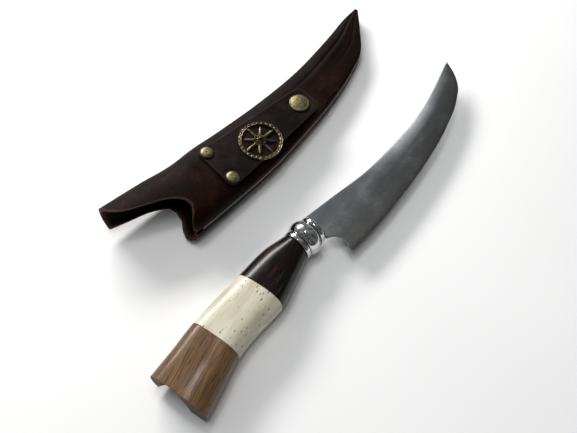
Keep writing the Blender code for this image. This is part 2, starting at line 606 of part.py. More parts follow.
def concho(x, y, flap):
    """Openwork rosette: a rim, a hub and rays between them, held by a screw from below."""
    rim, hub = CONCHO_RADIUS - CONCHO_RING, 0.36 * CONCHO_RADIUS
    pitch = 2 * pi / CONCHO_RAYS
    outline = [arc((0, 0), CONCHO_RADIUS, 0, 2 * pi * 47 / 48, 48)]
    for k in range(CONCHO_RAYS):
        start, end = (k + 0.12) * pitch, (k + 0.88) * pitch
        narrow = 0.13 * pitch
        outline.append(arc((0, 0), rim, start, end, 7) + arc((0, 0), hub, end - narrow, start + narrow, 4))
    disc_mesh = plate("concho", outline, GAP, GAP + CONCHO_THICKNESS)
    disc = add_piece("concho", disc_mesh, FLAP_FRAME, BRASS)
    disc.location = (x, y, 0)
    r = CONCHO_SCREW_RADIUS
    cut(disc, pin_cutter("concho_bore", FLAP_FRAME, r + GAP, -1 * MM, GAP + 0.6 * CONCHO_THICKNESS, x, y))
    cut(flap, pin_cutter("concho_hole", FLAP_FRAME, r + GAP, -LEATHER - 1 * MM, 1 * MM, x, y))
    top, under = GAP + 0.4 * CONCHO_THICKNESS, -LEATHER - GAP
    screw = [(0, top), (r, top), (r, under), (2.4 * r, under), (2.2 * r, under - 0.9 * MM),
             (0, under - 0.9 * MM)]
    turned("concho_screw", FLAP_FRAME, screw, BRASS, (x, y, 0))


# ---------------------------------------------------------------- the whole object
def set_on_table(frame):
    """Lower a frame so that its lowest piece stands on the plane z = 0."""
    bpy.context.view_layer.update()
    frame.location.z -= footprint(frame)[0][2]
    bpy.context.view_layer.update()


def footprint(frame):
    graph = bpy.context.evaluated_depsgraph_get()
    points = []
    for piece in PARTS.objects:
        if piece.type == "MESH" and frame in ancestors(piece):
            evaluated = piece.evaluated_get(graph)
            points += [evaluated.matrix_world @ vertex.co for vertex in evaluated.data.vertices]
    array = np.array(points)
    return array.min(axis=0), array.max(axis=0)


def ancestors(piece):
    found = []
    while piece.parent:
        piece = piece.parent
        found.append(piece)
    return found


clear_scene()
PARTS = new_collection("trailing_point_knife")
CUTTERS = new_collection("cutters")

STEEL = finish("satin_steel", (0.50, 0.51, 0.52), 0.32, 1.0)
NICKEL = finish("polished_nickel_silver", (0.78, 0.78, 0.77), 0.08, 1.0)
DARK_WOOD = finish("ebony", (0.018, 0.011, 0.009), 0.22)
BONE = finish("polished_bone", (0.80, 0.76, 0.64), 0.28)
BROWN_WOOD = finish("oiled_walnut", (0.24, 0.125, 0.06), 0.30)
EPOXY = finish("cured_epoxy", (0.55, 0.45, 0.22), 0.35)
LEATHER_DARK = finish("oxblood_leather", (0.045, 0.020, 0.016), 0.42)
LEATHER_STRAP = finish("strap_leather", (0.060, 0.032, 0.030), 0.5)
LEATHER_RAW = finish("raw_leather_edge", (0.20, 0.12, 0.07), 0.7)
BRASS = finish("antique_brass", (0.42, 0.36, 0.19), 0.34, 1.0)

LAYOUT = frame_empty("layout")
HANDLE_FRAME = frame_empty("handle_frame", LAYOUT, (0, 0, HANDLE_CENTRE))
root_x, root_y = BOLSTER_LENGTH * cos(BOLSTER_TURN), -BOLSTER_LENGTH * sin(BOLSTER_TURN)
BLADE_FRAME = frame_empty("blade_frame", HANDLE_FRAME, (root_x, root_y, 0), (0, 0, -BOLSTER_TURN))

# The sheath lies with its back along the table, so its middle plane falls towards the tip.
SHEATH_PITCH = atan2(MOUTH_HALF_HEIGHT - TIP_HALF_HEIGHT, MOUTH_LENGTH + SHEATH_END)
beside = (root_x + SHEATH_BESIDE.x, root_y + SHEATH_BESIDE.y, 0)
SHEATH_FRAME = frame_empty("sheath_frame", LAYOUT, beside, (0, SHEATH_PITCH, SHEATH_TURN))

# The riveted end rolls with the panel under its rivets and rises until it clears the crown.
spine_level = panel_height(RIVET_PLACE, STRAP_CENTRE + RIVET_SPACING / 2)
edge_level = panel_height(RIVET_PLACE, STRAP_CENTRE - RIVET_SPACING / 2)
STRAP_ROLL = atan2(spine_level - edge_level, RIVET_SPACING)
middle = (STRAP_START - HINGE_PLACE) / 2
ROOT_HEIGHT = GAP + max(panel_levels(strap_plane(0, ROOT_PITCH), middle, side * STRAP_WIDTH / 4,
                                     STRAP_WIDTH / 4)[1] for side in (-1, 1))
ROOT_PLANE = strap_plane(ROOT_HEIGHT, ROOT_PITCH)
ROOT_FRAME = frame_empty("strap_seat", SHEATH_FRAME, ROOT_PLANE.translation, ROOT_PLANE.to_euler())

# The flap turns on the strap's top face and, closed, stands on the snap.
hinge = ROOT_PLANE @ Vector((0, 0, LEATHER))
snap_level = panel_height(SNAP_PLACE, STRAP_CENTRE) + FLANGE_THICKNESS + SOCKET_HEIGHT + 3 * GAP + LEATHER
FLAP_PLANE = strap_plane(0, atan2(hinge.z - snap_level, SNAP_PLACE - HINGE_PLACE))
FLAP_PLANE.translation = hinge
SNAP_FRAME = frame_empty("snap_seat", SHEATH_FRAME, hinge, FLAP_PLANE.to_euler())
FLAP_FRAME = frame_empty("strap_hinge", SHEATH_FRAME, hinge, FLAP_PLANE.to_euler())

blade()
bolster()
handle()
strap(sheath())

bpy.context.view_layer.update()
set_on_table(SHEATH_FRAME)
set_on_table(HANDLE_FRAME)
low, high = footprint(LAYOUT)
LAYOUT.location.x = -(low[0] + high[0]) / 2
LAYOUT.location.y = -(low[1] + high[1]) / 2
bpy.context.view_layer.update()
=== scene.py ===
import json
from math import atan2, cos, pi, radians, sin, tan

import bpy
import numpy as np
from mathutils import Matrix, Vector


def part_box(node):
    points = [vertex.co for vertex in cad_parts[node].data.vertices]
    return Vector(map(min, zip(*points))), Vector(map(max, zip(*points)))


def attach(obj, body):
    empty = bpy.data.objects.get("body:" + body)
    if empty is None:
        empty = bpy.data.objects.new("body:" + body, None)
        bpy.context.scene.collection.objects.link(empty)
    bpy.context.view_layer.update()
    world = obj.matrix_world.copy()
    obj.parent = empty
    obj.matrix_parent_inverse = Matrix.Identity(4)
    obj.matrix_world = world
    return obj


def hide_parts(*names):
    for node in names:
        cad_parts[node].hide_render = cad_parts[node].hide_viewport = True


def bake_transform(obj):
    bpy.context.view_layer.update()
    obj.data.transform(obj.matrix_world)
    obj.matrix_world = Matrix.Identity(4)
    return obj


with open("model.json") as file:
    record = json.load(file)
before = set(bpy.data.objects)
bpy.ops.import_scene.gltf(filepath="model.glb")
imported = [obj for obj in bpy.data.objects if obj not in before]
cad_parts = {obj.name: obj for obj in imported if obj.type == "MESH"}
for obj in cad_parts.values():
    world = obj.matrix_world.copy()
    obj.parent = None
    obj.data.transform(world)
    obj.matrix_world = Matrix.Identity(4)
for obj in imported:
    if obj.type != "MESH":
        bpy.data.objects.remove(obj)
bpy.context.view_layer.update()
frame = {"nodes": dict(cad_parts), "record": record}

MM = 0.001


# ------------------------------------------------------------------ blade
# One piece of carbon steel: a curved trailing-point blade ground flat from the spine, a small
# cutting bevel, a finger choil behind the heel, and the stick tang that the handle is threaded on.
HANDLE_LENGTH = 105.9 * MM
BOLSTER_LENGTH = 16.8 * MM
BOLSTER_TURN = radians(8.0)
BLADE_LENGTH = 149.0 * MM
BLADE_THICKNESS = 3.2 * MM
BEVEL_HEIGHT = 1.9 * MM
CHOIL_RADIUS = 8.1 * MM
CHOIL_CENTRE = (-2.7 * MM, -17.1 * MM)
HEEL_SETBACK = 3.4 * MM
BELOW_EDGE = -30 * MM
SPINE_LINE = ((0, 8.5), (0.15, 5.9), (0.32, 2.9), (0.52, 3.4), (0.69, 5.9), (0.87, 12.4), (1, 18.6))
EDGE_LINE = ((0, -25.2), (0.14, -25.5), (0.32, -23.6), (0.51, -20.0), (0.72, -13.0), (0.87, -4.4),
             (0.935, 2.2), (0.978, 11.0), (1, 18.0))

TANG_HALF_THICKNESS = 1.52 * MM
# Tang, from its end to the bolster: distance behind the blade, centre and half width (mm)
TANG_STATIONS = ((-100.8, -8.7, 3.0), (-60.0, -4.5, 3.6), (-16.8, 0, 4.5), (-0.28, 0, 4.5))
BUTT_SIDE = 18.7 * MM             # from the handle's axis to the spine side of its butt

butt_low, butt_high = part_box("handle_brown_wood")
HANDLE_FRONT = np.array([butt_low[0] + HANDLE_LENGTH, butt_high[1] - BUTT_SIDE,
                         (butt_low[2] + butt_high[2]) / 2])
BLADE_ROOT = HANDLE_FRONT + BOLSTER_LENGTH * np.array([cos(BOLSTER_TURN), -sin(BOLSTER_TURN), 0])


def smooth(table, x):
    """Cubic curve through the table's points, with slopes taken from each point's neighbours."""
    px, py = np.array(table, float).T
    slope = np.gradient(py, px)
    i = np.clip(np.searchsorted(px, x, side="right") - 1, 0, len(px) - 2)
    h = px[i + 1] - px[i]
    t = (x - px[i]) / h
    return ((2 * t**3 - 3 * t**2 + 1) * py[i] + (t**3 - 2 * t**2 + t) * h * slope[i]
            + (3 * t**2 - 2 * t**3) * py[i + 1] + (t**3 - t**2) * h * slope[i + 1])


def turned_about(axis, angle):
    """Rotation matrix about a world axis by an angle."""
    c, s = cos(angle), sin(angle)
    return np.array({"x": ((1, 0, 0), (0, c, -s), (0, s, c)), "y": ((c, 0, s), (0, 1, 0), (-s, 0, c)),
                     "z": ((c, -s, 0), (s, c, 0), (0, 0, 1))}[axis], float)


def skin(name, grid, soft_angle=35, mark=None, loop=False):
    """Closed surface over a grid of points: rows follow the length and columns go round.  Each end
    is closed by a face over its whole ring, or on a loop the last row joins the first.  The faces
    are turned outwards, where the volume that they enclose is positive.  A mark is a value at each
    point, for the material."""
    rows, columns = grid.shape[:2]
    first = np.arange(rows * columns).reshape(rows, columns)
    corners = [np.roll(first, shift, axis=(0, 1)) for shift in ((0, 0), (0, -1), (-1, -1), (-1, 0))]
    quads = np.stack(corners, axis=-1)[:rows if loop else -1].reshape(-1, 4)
    caps = [] if loop else [first[0, ::-1].tolist(), first[-1].tolist()]
    mesh = bpy.data.meshes.new(name)
    mesh.from_pydata(grid.reshape(-1, 3).tolist(), [], quads.tolist() + caps)
    a, b, c, d = (grid.reshape(-1, 3)[quads[:, k]] - grid.mean(axis=(0, 1)) for k in range(4))
    if np.sum(a * np.cross(b, c) + a * np.cross(c, d)) < 0:
        mesh.flip_normals()
    if mark is not None:
        mesh.attributes.new("mark", "FLOAT", "POINT").data.foreach_set("value", mark.ravel())
    mesh.shade_smooth()
    mesh.set_sharp_from_angle(angle=radians(soft_angle))
    piece = bpy.data.objects.new(name, mesh)
    bpy.context.scene.collection.objects.link(piece)
    return piece


def cut_away(piece, cutter):
    """The piece without the space that the cutter fills; the cutter is used up."""
    modifier = piece.modifiers.new("cut", "BOOLEAN")
    modifier.object = cutter
    modifier.solver = "EXACT"
    bpy.context.view_layer.update()
    cut = bpy.data.meshes.new_from_object(piece.evaluated_get(bpy.context.evaluated_depsgraph_get()))
    piece.modifiers.clear()
    piece.data = cut
    bpy.data.objects.remove(cutter, do_unlink=True)


def rounded(piece, width, angle=50, segments=2):
    """A small round along the piece's sharp edges."""
    bevel = piece.modifiers.new("edge_round", "BEVEL")
    bevel.width = width
    bevel.segments = segments
    bevel.limit_method = "ANGLE"
    bevel.angle_limit = radians(angle)
    bevel.use_clamp_overlap = True


class Finish:
    """A material under construction: nodes are added by type and joined by name."""

    def __init__(self, name, **settings):
        """A new material of one shader, with its settings given by name."""
        self.material = bpy.data.materials.new(name)
        self.material.use_nodes = True
        self.tree = self.material.node_tree
        self.shader = self.tree.nodes["Principled BSDF"]
        for socket, value in settings.items():
            self.shader.inputs[socket.replace("_", " ")].default_value = value
        self.place = self.tree.nodes.new("ShaderNodeTexCoord").outputs["Object"]

    def node(self, kind, links=(), **settings):
        """A new node of a kind, with its settings and inputs given by name, and its links made."""
        node = self.tree.nodes.new("ShaderNode" + kind)
        for key, value in settings.items():
            if hasattr(node, key):
                setattr(node, key, value)
            else:
                node.inputs[key.replace("_", " ")].default_value = value
        for socket, source in dict(links).items():
            self.tree.links.new(source, node.inputs[socket])
        return node

    def along(self, centre, turn, scale):
        """Object coordinates centred on a piece, turned about Z to its length, then scaled."""
        moved = self.node("Mapping", {"Vector": self.place}, Location=[-x for x in centre])
        turned = self.node("Mapping", {"Vector": moved.outputs[0]}, Rotation=(0, 0, -turn))
        return self.node("Mapping", {"Vector": turned.outputs[0]}, Scale=scale).outputs[0]

    def noise(self, where, scale=1.0, detail=4.0, rough=0.55, distortion=0.0):
        """Cloudy value between 0 and 1 at each place."""
        return self.node("TexNoise", {"Vector": where}, Scale=scale, Detail=detail, Roughness=rough,
                         Distortion=distortion).outputs["Fac"]

    def ramp(self, source, *stops):
        """Colours at places 0 to 1 along a value."""
        ramp = self.node("ValToRGB", {"Fac": source})
        points = ramp.color_ramp.elements
        while len(points) < len(stops):
            points.new(0.5)
        for point, (place, colour) in zip(points, stops):
            point.position = place
            point.color = (*colour, 1) if len(colour) == 3 else (colour[0],) * 3 + (1,)
        return ramp.outputs["Color"]

    def mixed(self, share, first, second, blend="MIX"):
        """First colour changed by a share of the second, mixed or multiplied."""
        mix = self.node("Mix", data_type="RGBA", blend_type=blend)
        for index, value in ((0, share), (6, first), (7, second)):
            if isinstance(value, bpy.types.NodeSocket):
                self.tree.links.new(value, mix.inputs[index])
            else:
                mix.inputs[index].default_value = value if index == 0 else (*value, 1)
        return mix.outputs[2]

    def span(self, source, low, high, start=0.0, end=1.0):
        """A value brought from one range to another."""
        return self.node("MapRange", {"Value": source}, From_Min=start, From_Max=end, To_Min=low,
                         To_Max=high).outputs[0]

    def colour(self, source):
        """The surface's own colour comes from a value."""
        self.tree.links.new(source, self.shader.inputs["Base Color"])

    def roughness(self, source):
        """How matt the surface is comes from a value."""
        self.tree.links.new(source, self.shader.inputs["Roughness"])

    def relief(self, source, depth, strength=1.0, under=None):
        """Fine bumps of a depth in metres, added to the relief under them."""
        links = {"Height": source}
        if under is not None:
            links["Normal"] = under
        bump = self.node("Bump", links, Distance=depth, Strength=strength)
        self.tree.links.new(bump.outputs[0], self.shader.inputs["Normal"])
        return bump.outputs[0]


def on_blade(points):
    """From the blade's own frame, with u to the point and v to the spine, to the table's frame."""
    return points @ turned_about("z", -BOLSTER_TURN).T + BLADE_ROOT


def blade_rings():
    """At each place along the blade, half of the ring goes from the spine's middle, round its
    corner, down the flat and the bevel to the edge; the other half mirrors it.  The tang's places
    come first, with the same ring squeezed into a bar."""
    share = np.concatenate([np.linspace(0, 0.9, 150), np.linspace(0.905, 0.9985, 40)])
    u = share * BLADE_LENGTH
    top, low = smooth(SPINE_LINE, share) * MM, smooth(EDGE_LINE, share) * MM
    bevel = np.minimum(BEVEL_HEIGHT, 0.3 * (top - low))
    half = (BLADE_THICKNESS - 2.0 * MM * share**2.2) / 2
    shoulder = np.minimum(0.42 * MM, 0.7 * half)
    corner = np.minimum(0.3 * MM, 0.1 * (top - low))
    flat = np.linspace(0, 1, 26)[:, None] ** 1.2
    roll = 0.30 * half * (1 - np.clip(flat / 0.42, 0, 1)) ** 2 * np.clip(share / 0.4, 0, 1)
    v = np.vstack([top, top, top - 0.3 * corner, top - corner - flat[1:] * (top - corner - low - bevel),
                   low + 0.5 * bevel, low])
    crown = half - roll[0]
    z = np.vstack([0 * half, crown - corner, crown - 0.3 * corner, half - roll[1:] - 0.01 * corner - flat[1:]
                   * (half - shoulder), 0.55 * shoulder, 0 * half + 0.03 * MM])
    tang_u, centre, bar = np.array(TANG_STATIONS).T * MM
    spread = np.linspace(1, -1, v.shape[0])[:, None]
    edge = np.ones_like(spread) * TANG_HALF_THICKNESS
    edge[0] = 0
    u = np.concatenate([tang_u, u])
    v = np.hstack([centre + spread * bar, v])
    z = np.hstack([edge + 0 * bar, z])
    ring_v, ring_z = np.vstack([v, v[:0:-1]]), np.vstack([z, -z[:0:-1]])
    return on_blade(np.stack([np.broadcast_to(u, ring_v.shape), ring_v, ring_z], axis=-1).swapaxes(0, 1))


def upright(name, outline, half_height, place):
    """Straight-sided solid over a flat outline, between two heights, placed by a function."""
    flat = np.array(outline, float)
    grid = np.stack([np.column_stack([flat, np.full(len(flat), z)]) for z in (-half_height, half_height)])
    return skin(name, place(grid))


blade = skin("blade_steel", blade_rings(), soft_angle=25)
arc = np.linspace(radians(160), radians(-40), 40)
notch = np.array(CHOIL_CENTRE) + CHOIL_RADIUS * np.column_stack([np.cos(arc), np.sin(arc)])
notch = np.vstack([notch, [(HEEL_SETBACK + 0.5 * MM, BELOW_EDGE), (-11 * MM, BELOW_EDGE)]])
cut_away(blade, upright("choil", notch, 4 * MM, on_blade))
rounded(blade, 0.12 * MM, angle=60)

points = np.empty(len(blade.data.vertices) * 3)
blade.data.vertices.foreach_get("co", points)
u, v = ((points.reshape(-1, 3) - BLADE_ROOT) @ turned_about("z", -BOLSTER_TURN))[:, :2].T
share = np.clip(u / BLADE_LENGTH, 0, 1)
low_line, top_line = smooth(EDGE_LINE, share) * MM, smooth(SPINE_LINE, share) * MM
across = (v - low_line) / (top_line - low_line + 1e-5)
# Painted highlight: a band near the spine at mid-length, where the window is reflected, kept as a value at
# each point.
band = (np.clip((across - 0.60) / 0.34, 0, 1) * np.clip((share - 0.30) / 0.26, 0, 1)
        * np.clip((0.97 - share) / 0.22, 0, 1))
blade.data.attributes.new("across", "FLOAT", "POINT").data.foreach_set("value", np.clip(across, 0, 1))
blade.data.attributes.new("band", "FLOAT", "POINT").data.foreach_set("value", band)

steel = Finish("satin_carbon_steel", Metallic=1.0)
across = steel.node("Attribute", attribute_name="across").outputs["Fac"]
brushed = steel.noise(steel.along(BLADE_ROOT, -BOLSTER_TURN, (30, 900, 900)), detail=6, rough=0.7)
cloudy = steel.noise(steel.along(BLADE_ROOT, -BOLSTER_TURN, (38, 60, 60)), detail=6, rough=0.62)
speckle = steel.noise(steel.place, scale=1500, detail=3, rough=0.7)
# Painted light: the steel's colour grows lighter from the edge to the spine, the side that the window light
# falls on.
tone = steel.ramp(across, (0.0, (0.165, 0.165, 0.152)), (0.35, (0.19, 0.195, 0.19)),
                  (1.0, (0.25, 0.265, 0.275)))
frost = steel.ramp(cloudy, (0.36, (0.90,)), (0.56, (1.0,)), (0.70, (1.35,)))
grit = steel.ramp(speckle, (0.35, (0.86,)), (0.50, (1.0,)), (0.68, (1.25,)))
tone = steel.mixed(1.0, steel.mixed(1.0, tone, frost, "MULTIPLY"), grit, "MULTIPLY")
# The painted highlight band, broken up by noise, paints the steel near white and makes it rougher there.
band = steel.node("Attribute", attribute_name="band").outputs["Fac"]
highlight_breakup = steel.ramp(steel.mixed(0.5, speckle, cloudy), (0.40, (0.55,)), (0.56, (1.0,)))
painted_highlight_band = steel.mixed(1.0, band, highlight_breakup, "MULTIPLY")
steel.colour(steel.mixed(painted_highlight_band, tone, (0.84, 0.88, 0.92)))
satin = steel.span(steel.mixed(0.5, brushed, cloudy), 0.27, 0.42, 0.3, 0.7)
steel.roughness(steel.mixed(painted_highlight_band, satin, (0.50, 0.50, 0.50)))
under = steel.relief(cloudy, 0.0004, 0.05)
steel.relief(brushed, 0.00002, 0.35, under)
blade.data.materials.clear()
blade.data.materials.append(steel.material)
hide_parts("blade")
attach(blade, "knife")


# ------------------------------------------------------------------ bolster
# Three rings turned from nickel silver and buffed to a mirror, threaded on the tang: a short front
# collar, a full-bellied barrel and a thin ring against the handle.
COLLAR_RADIUS = 8.9 * MM
BARREL_RADIUS = 11.0 * MM
BARREL_END_RADIUS = 9.0 * MM
REAR_RING_RADIUS = 9.6 * MM
COLLAR_SPAN = (-3.8 * MM, -0.3 * MM)      # from back to front, along the bolster's axis
BARREL_SPAN = (-13.45 * MM, -4.35 * MM)
REAR_RING_SPAN = (-16.7 * MM, -13.8 * MM)
CORE_RADIUS = 0.4 * MM                    # where a profile stops, just short of the axis


def turned_ring(name, profile, place=on_blade):
    """A profile of (distance along the axis, radius) swept round the axis; its ends meet the axis
    in small flat caps."""
    along, radius = np.array(profile, float).T
    angle = np.linspace(0, 2 * pi, 96, endpoint=False)
    grid = np.stack([np.broadcast_to(along[:, None], (len(along), 96)), radius[:, None] * np.cos(angle),
                     radius[:, None] * np.sin(angle)], axis=-1)
    return skin(name, place(grid), soft_angle=50)


def lip(start, end, radius, bulge):
    """Outline of a ring whose outside swells between two faces, as a power of a half sine wave."""
    t = np.linspace(0, pi, 19)
    middle, half = (start + end) / 2, (end - start) / 2
    outside = [(middle - half * cos(a), radius - bulge + bulge * sin(a) ** 0.7) for a in t]
    return [(start, CORE_RADIUS), *outside, (end, CORE_RADIUS)]


nickel = Finish("mirror_nickel_silver", Metallic=1.0, Roughness=0.06)
hairlines = nickel.noise(nickel.along(BLADE_ROOT, -BOLSTER_TURN, (1500, 60, 60)), detail=3)
nickel.roughness(nickel.span(hairlines, 0.04, 0.10, 0.35, 0.65))
tarnished = nickel.noise(nickel.place, scale=260, detail=4)
nickel.colour(nickel.ramp(tarnished, (0.35, (0.56, 0.56, 0.54)), (0.65, (0.72, 0.72, 0.71))))
nickel.relief(hairlines, 0.00001, 0.12)
collar = lip(*COLLAR_SPAN, COLLAR_RADIUS, bulge=1.3 * MM)
flange = lip(*REAR_RING_SPAN, REAR_RING_RADIUS, bulge=0.6 * MM)
belly_back, belly_front = BARREL_SPAN
belly = [(belly_back, CORE_RADIUS), (belly_back, 8.6 * MM)]
belly += [(belly_back + (belly_front - belly_back) * t,
           BARREL_END_RADIUS + (BARREL_RADIUS - BARREL_END_RADIUS) * sin(pi * t) ** 0.62)
          for t in np.linspace(0.01, 0.99, 41)]
belly += [(belly_front, 8.5 * MM), (belly_front, CORE_RADIUS)]
for name, node, profile in (("bolster_collar", "bolster_front_collar", collar),
                            ("bolster_belly", "bolster_barrel", belly),
                            ("bolster_flange", "bolster_rear_ring", flange)):
    ring = turned_ring(name, profile)
    ring.data.materials.append(nickel.material)
    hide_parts(node)
    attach(ring, "knife")


# ------------------------------------------------------------------ handle
# Blocks of dark wood, bone and brown wood, drilled and bedded in epoxy on the tang, then ground
# together to one swelling outline and polished.  The butt is cut square and scooped for the thumb.
HANDLE_THICKNESS = 24.0 * MM
HANDLE_STATIONS = ((0, 0, 8.7, 0.725, 2.0), (0.13, 0.8, 12.3, 0.86, 2.2), (0.32, 0.2, 15.0, 0.99, 2.6),
                   (0.50, 2.3, 15.0, 0.99, 2.8), (0.66, 3.3, 15.3, 0.97, 3.0),
                   (0.84, 1.6, 16.8, 0.99, 3.1), (1.00, 0.3, 18.4, 1.0, 3.2))
SCOOP_RADIUS = 12.0 * MM
SCOOP_OFFSET = 5.0 * MM
SCOOP_TILT = atan2(7.1, 24.0)
SCOOP_DEPTH = 3.95 * MM           # at half the thickness
DARK_WOOD_LENGTH = 34.0 * MM
DARK_WOOD_END = 34.25 * MM        # joints, measured back from the bolster
BONE_END = 70.55 * MM
GLUE_LINE = 0.03 * MM
BOLSTER_CLEARANCE = 0.1 * MM


def handle_section(back, angle):
    """A squared-off oval at each distance behind the bolster: centre, width, thickness and
    squareness come from the stations.  Its front leans with the bolster."""
    share = np.clip(back / HANDLE_LENGTH, 0, 1)
    stations = np.array(HANDLE_STATIONS)
    centre, half, thick, square = (smooth(stations[:, [0, k]], share) for k in (1, 2, 3, 4))
    c, s = np.cos(angle), np.sin(angle)
    y = centre * MM + half * MM * np.sign(c) * np.abs(c) ** (2 / square)
    z = HANDLE_THICKNESS / 2 * thick * np.sign(s) * np.abs(s) ** (2 / square)
    lean = tan(BOLSTER_TURN) * np.clip(1 - back / DARK_WOOD_LENGTH, 0, 1)
    return np.stack([-back + lean * y, y, z], axis=-1)


def scoop_depth(y, z):
    """How far the round scoop, a cylinder leaning back towards the lower face, has cut the butt."""
    middle = SCOOP_DEPTH - z * tan(SCOOP_TILT)
    side = np.clip(SCOOP_RADIUS**2 - (y - SCOOP_OFFSET) ** 2, 0, None)
    return np.clip(middle - (SCOOP_RADIUS - np.sqrt(side)) / cos(SCOOP_TILT), 0, None)


def block_grid(start, end, scooped=False, edge=0.22 * MM):
    """Rings of the handle from one joint to the next, with a tiny round at each joint, where rings
    shrink by a quarter circle of the edge's size.  At the butt the rings stop at the scoop, and
    shrinking rings follow the scooped end face inwards."""
    angle = np.linspace(0, 2 * pi, 300, endpoint=False)
    quarter = np.linspace(0, pi / 2, 4)

    def edge_ring(back, turn):
        """Place and size of a ring on the edge's quarter circle."""
        return np.full_like(angle, back), 1 - edge * (1 - cos(turn)) / (HANDLE_THICKNESS / 2)

    rows = [edge_ring(start + edge * (1 - sin(turn)), turn) for turn in quarter[:-1]]
    last = end - edge
    limit = np.full_like(angle, last)
    for _ in range(3):
        spot = handle_section(limit, angle)
        limit = last - (scoop_depth(spot[:, 1], spot[:, 2]) if scooped else 0)
    for t in np.linspace(0, 1, 90 if scooped else 50):
        rows.append((start + edge + (limit - start - edge) * t, 1.0))
    if not scooped:
        rows += [edge_ring(last + edge * sin(turn), turn) for turn in quarter[1:]]
    grid = []
    for back, shrink in rows:
        ring = handle_section(back, angle)
        ring[:, 1:] *= shrink
        grid.append(ring)
    if scooped:
        rim = handle_section(limit, angle)
        middle = np.array([0.3 * MM, 0.0])
        for shrink in np.concatenate([[0.992], np.linspace(0.97, 0.02, 60)]):
            yz = middle + (rim[:, 1:] - middle) * shrink
            x = -end + scoop_depth(yz[:, 0], yz[:, 1])
            grid.append(np.column_stack([x, yz]))
    return np.array(grid) + HANDLE_FRONT


GRAIN_TURN = radians(9)
# Depth into the scoop over which the end grain's painted shade deepens.
SCOOP_SHADE_DEPTH = 3.5 * MM      # over which the scooped end grain darkens
ebony = Finish("ebony_gloss", Roughness=0.2, Coat_Weight=0.12, Coat_Roughness=0.10, Specular_IOR_Level=0.22)
streak = ebony.noise(ebony.along(HANDLE_FRONT, 0, (24, 620, 560)), detail=6, rough=0.65, distortion=0.4)
patch = ebony.noise(ebony.along(HANDLE_FRONT, 0, (30, 190, 150)), detail=3)
grey = ebony.noise(ebony.along(HANDLE_FRONT, 0, (20, 420, 380)), detail=2)
wood = ebony.ramp(streak, (0.3, (0.0022, 0.0015, 0.0012)), (0.6, (0.0060, 0.0036, 0.0028)),
                  (0.8, (0.020, 0.011, 0.009)))
wood = ebony.mixed(ebony.ramp(grey, (0.62, (0.0,)), (0.74, (0.7,))), wood, (0.028, 0.020, 0.020))
ebony.colour(ebony.mixed(ebony.ramp(patch, (0.56, (0.0,)), (0.68, (0.85,))), wood, (0.040, 0.0115, 0.007)))
ebony.roughness(ebony.span(streak, 0.17, 0.34))
ebony.relief(streak, 0.00003, 0.30)

bone = Finish("polished_bone_pores", Roughness=0.26, Coat_Weight=0.16, Coat_Roughness=0.12,
              Specular_IOR_Level=0.3, Subsurface_Weight=0.10, Subsurface_Scale=0.0015)
bone.shader.inputs["Subsurface Radius"].default_value = (1.0, 0.7, 0.45)
cells = bone.node("TexVoronoi", {"Vector": bone.along(HANDLE_FRONT, 0, (270, 760, 760))},
                  feature="F1", Scale=1.0, Randomness=1.0).outputs["Distance"]
clusters = bone.noise(bone.along(HANDLE_FRONT, 0, (22, 170, 170)), detail=2)
where = bone.ramp(clusters, (0.47, (0.0,)), (0.53, (1.0,)))
pore = bone.mixed(1.0, bone.ramp(cells, (0.15, (1.0,)), (0.26, (0.0,))), where, "MULTIPLY")
clouds = bone.noise(bone.along(HANDLE_FRONT, 0, (40, 90, 90)), detail=5)
ivory = bone.ramp(clouds, (0.3, (0.47, 0.425, 0.31)), (0.55, (0.60, 0.565, 0.44)), (0.8, (0.66, 0.63, 0.51)))
fine_lines = bone.noise(bone.along(HANDLE_FRONT, 0, (40, 900, 900)), detail=4)
ivory = bone.mixed(0.35, ivory, bone.ramp(fine_lines, (0.34, (0.80,)), (0.55, (1.0,))), "MULTIPLY")
bone.colour(bone.mixed(pore, ivory, (0.045, 0.030, 0.020)))
bone.roughness(bone.span(clouds, 0.20, 0.34, 0.3, 0.7))
bone.relief(pore, 0.0002, -0.5)

walnut = Finish("oiled_walnut_gloss", Roughness=0.36, Coat_Weight=0.20, Coat_Roughness=0.13,
                Specular_IOR_Level=0.15)
figure = walnut.noise(walnut.along(HANDLE_FRONT, GRAIN_TURN, (14, 150, 130)), detail=3, distortion=0.6)
fine = walnut.noise(walnut.along(HANDLE_FRONT, GRAIN_TURN, (70, 1650, 1500)), detail=5, rough=0.65)
ring_lines = walnut.noise(walnut.along(HANDLE_FRONT, GRAIN_TURN, (16, 420, 330)), detail=4, rough=0.6)
pores = walnut.noise(walnut.along(HANDLE_FRONT, GRAIN_TURN, (130, 1700, 1600)), detail=2)
base = walnut.ramp(figure, (0.3, (0.112, 0.058, 0.026)), (0.5, (0.160, 0.088, 0.042)),
                   (0.7, (0.205, 0.118, 0.060)))
year_shade = walnut.ramp(ring_lines, (0.36, (0.62,)), (0.52, (1.0,)), (0.70, (1.22,)))
base = walnut.mixed(0.55, base, year_shade, "MULTIPLY")
fibre_shade = walnut.ramp(fine, (0.34, (0.42,)), (0.50, (0.95,)), (0.66, (1.40,)))
base = walnut.mixed(0.85, base, fibre_shade, "MULTIPLY")
walnut.colour(walnut.mixed(0.9, base, walnut.ramp(pores, (0.33, (0.30,)), (0.41, (1.0,))), "MULTIPLY"))
walnut.roughness(walnut.span(fine, 0.28, 0.50, 0.3, 0.7))
under = walnut.relief(fine, 0.00005, 0.55)
walnut.relief(pores, 0.00008, 0.30, under)
walnut.tree.links.new(under.node.outputs[0], walnut.shader.inputs["Coat Normal"])
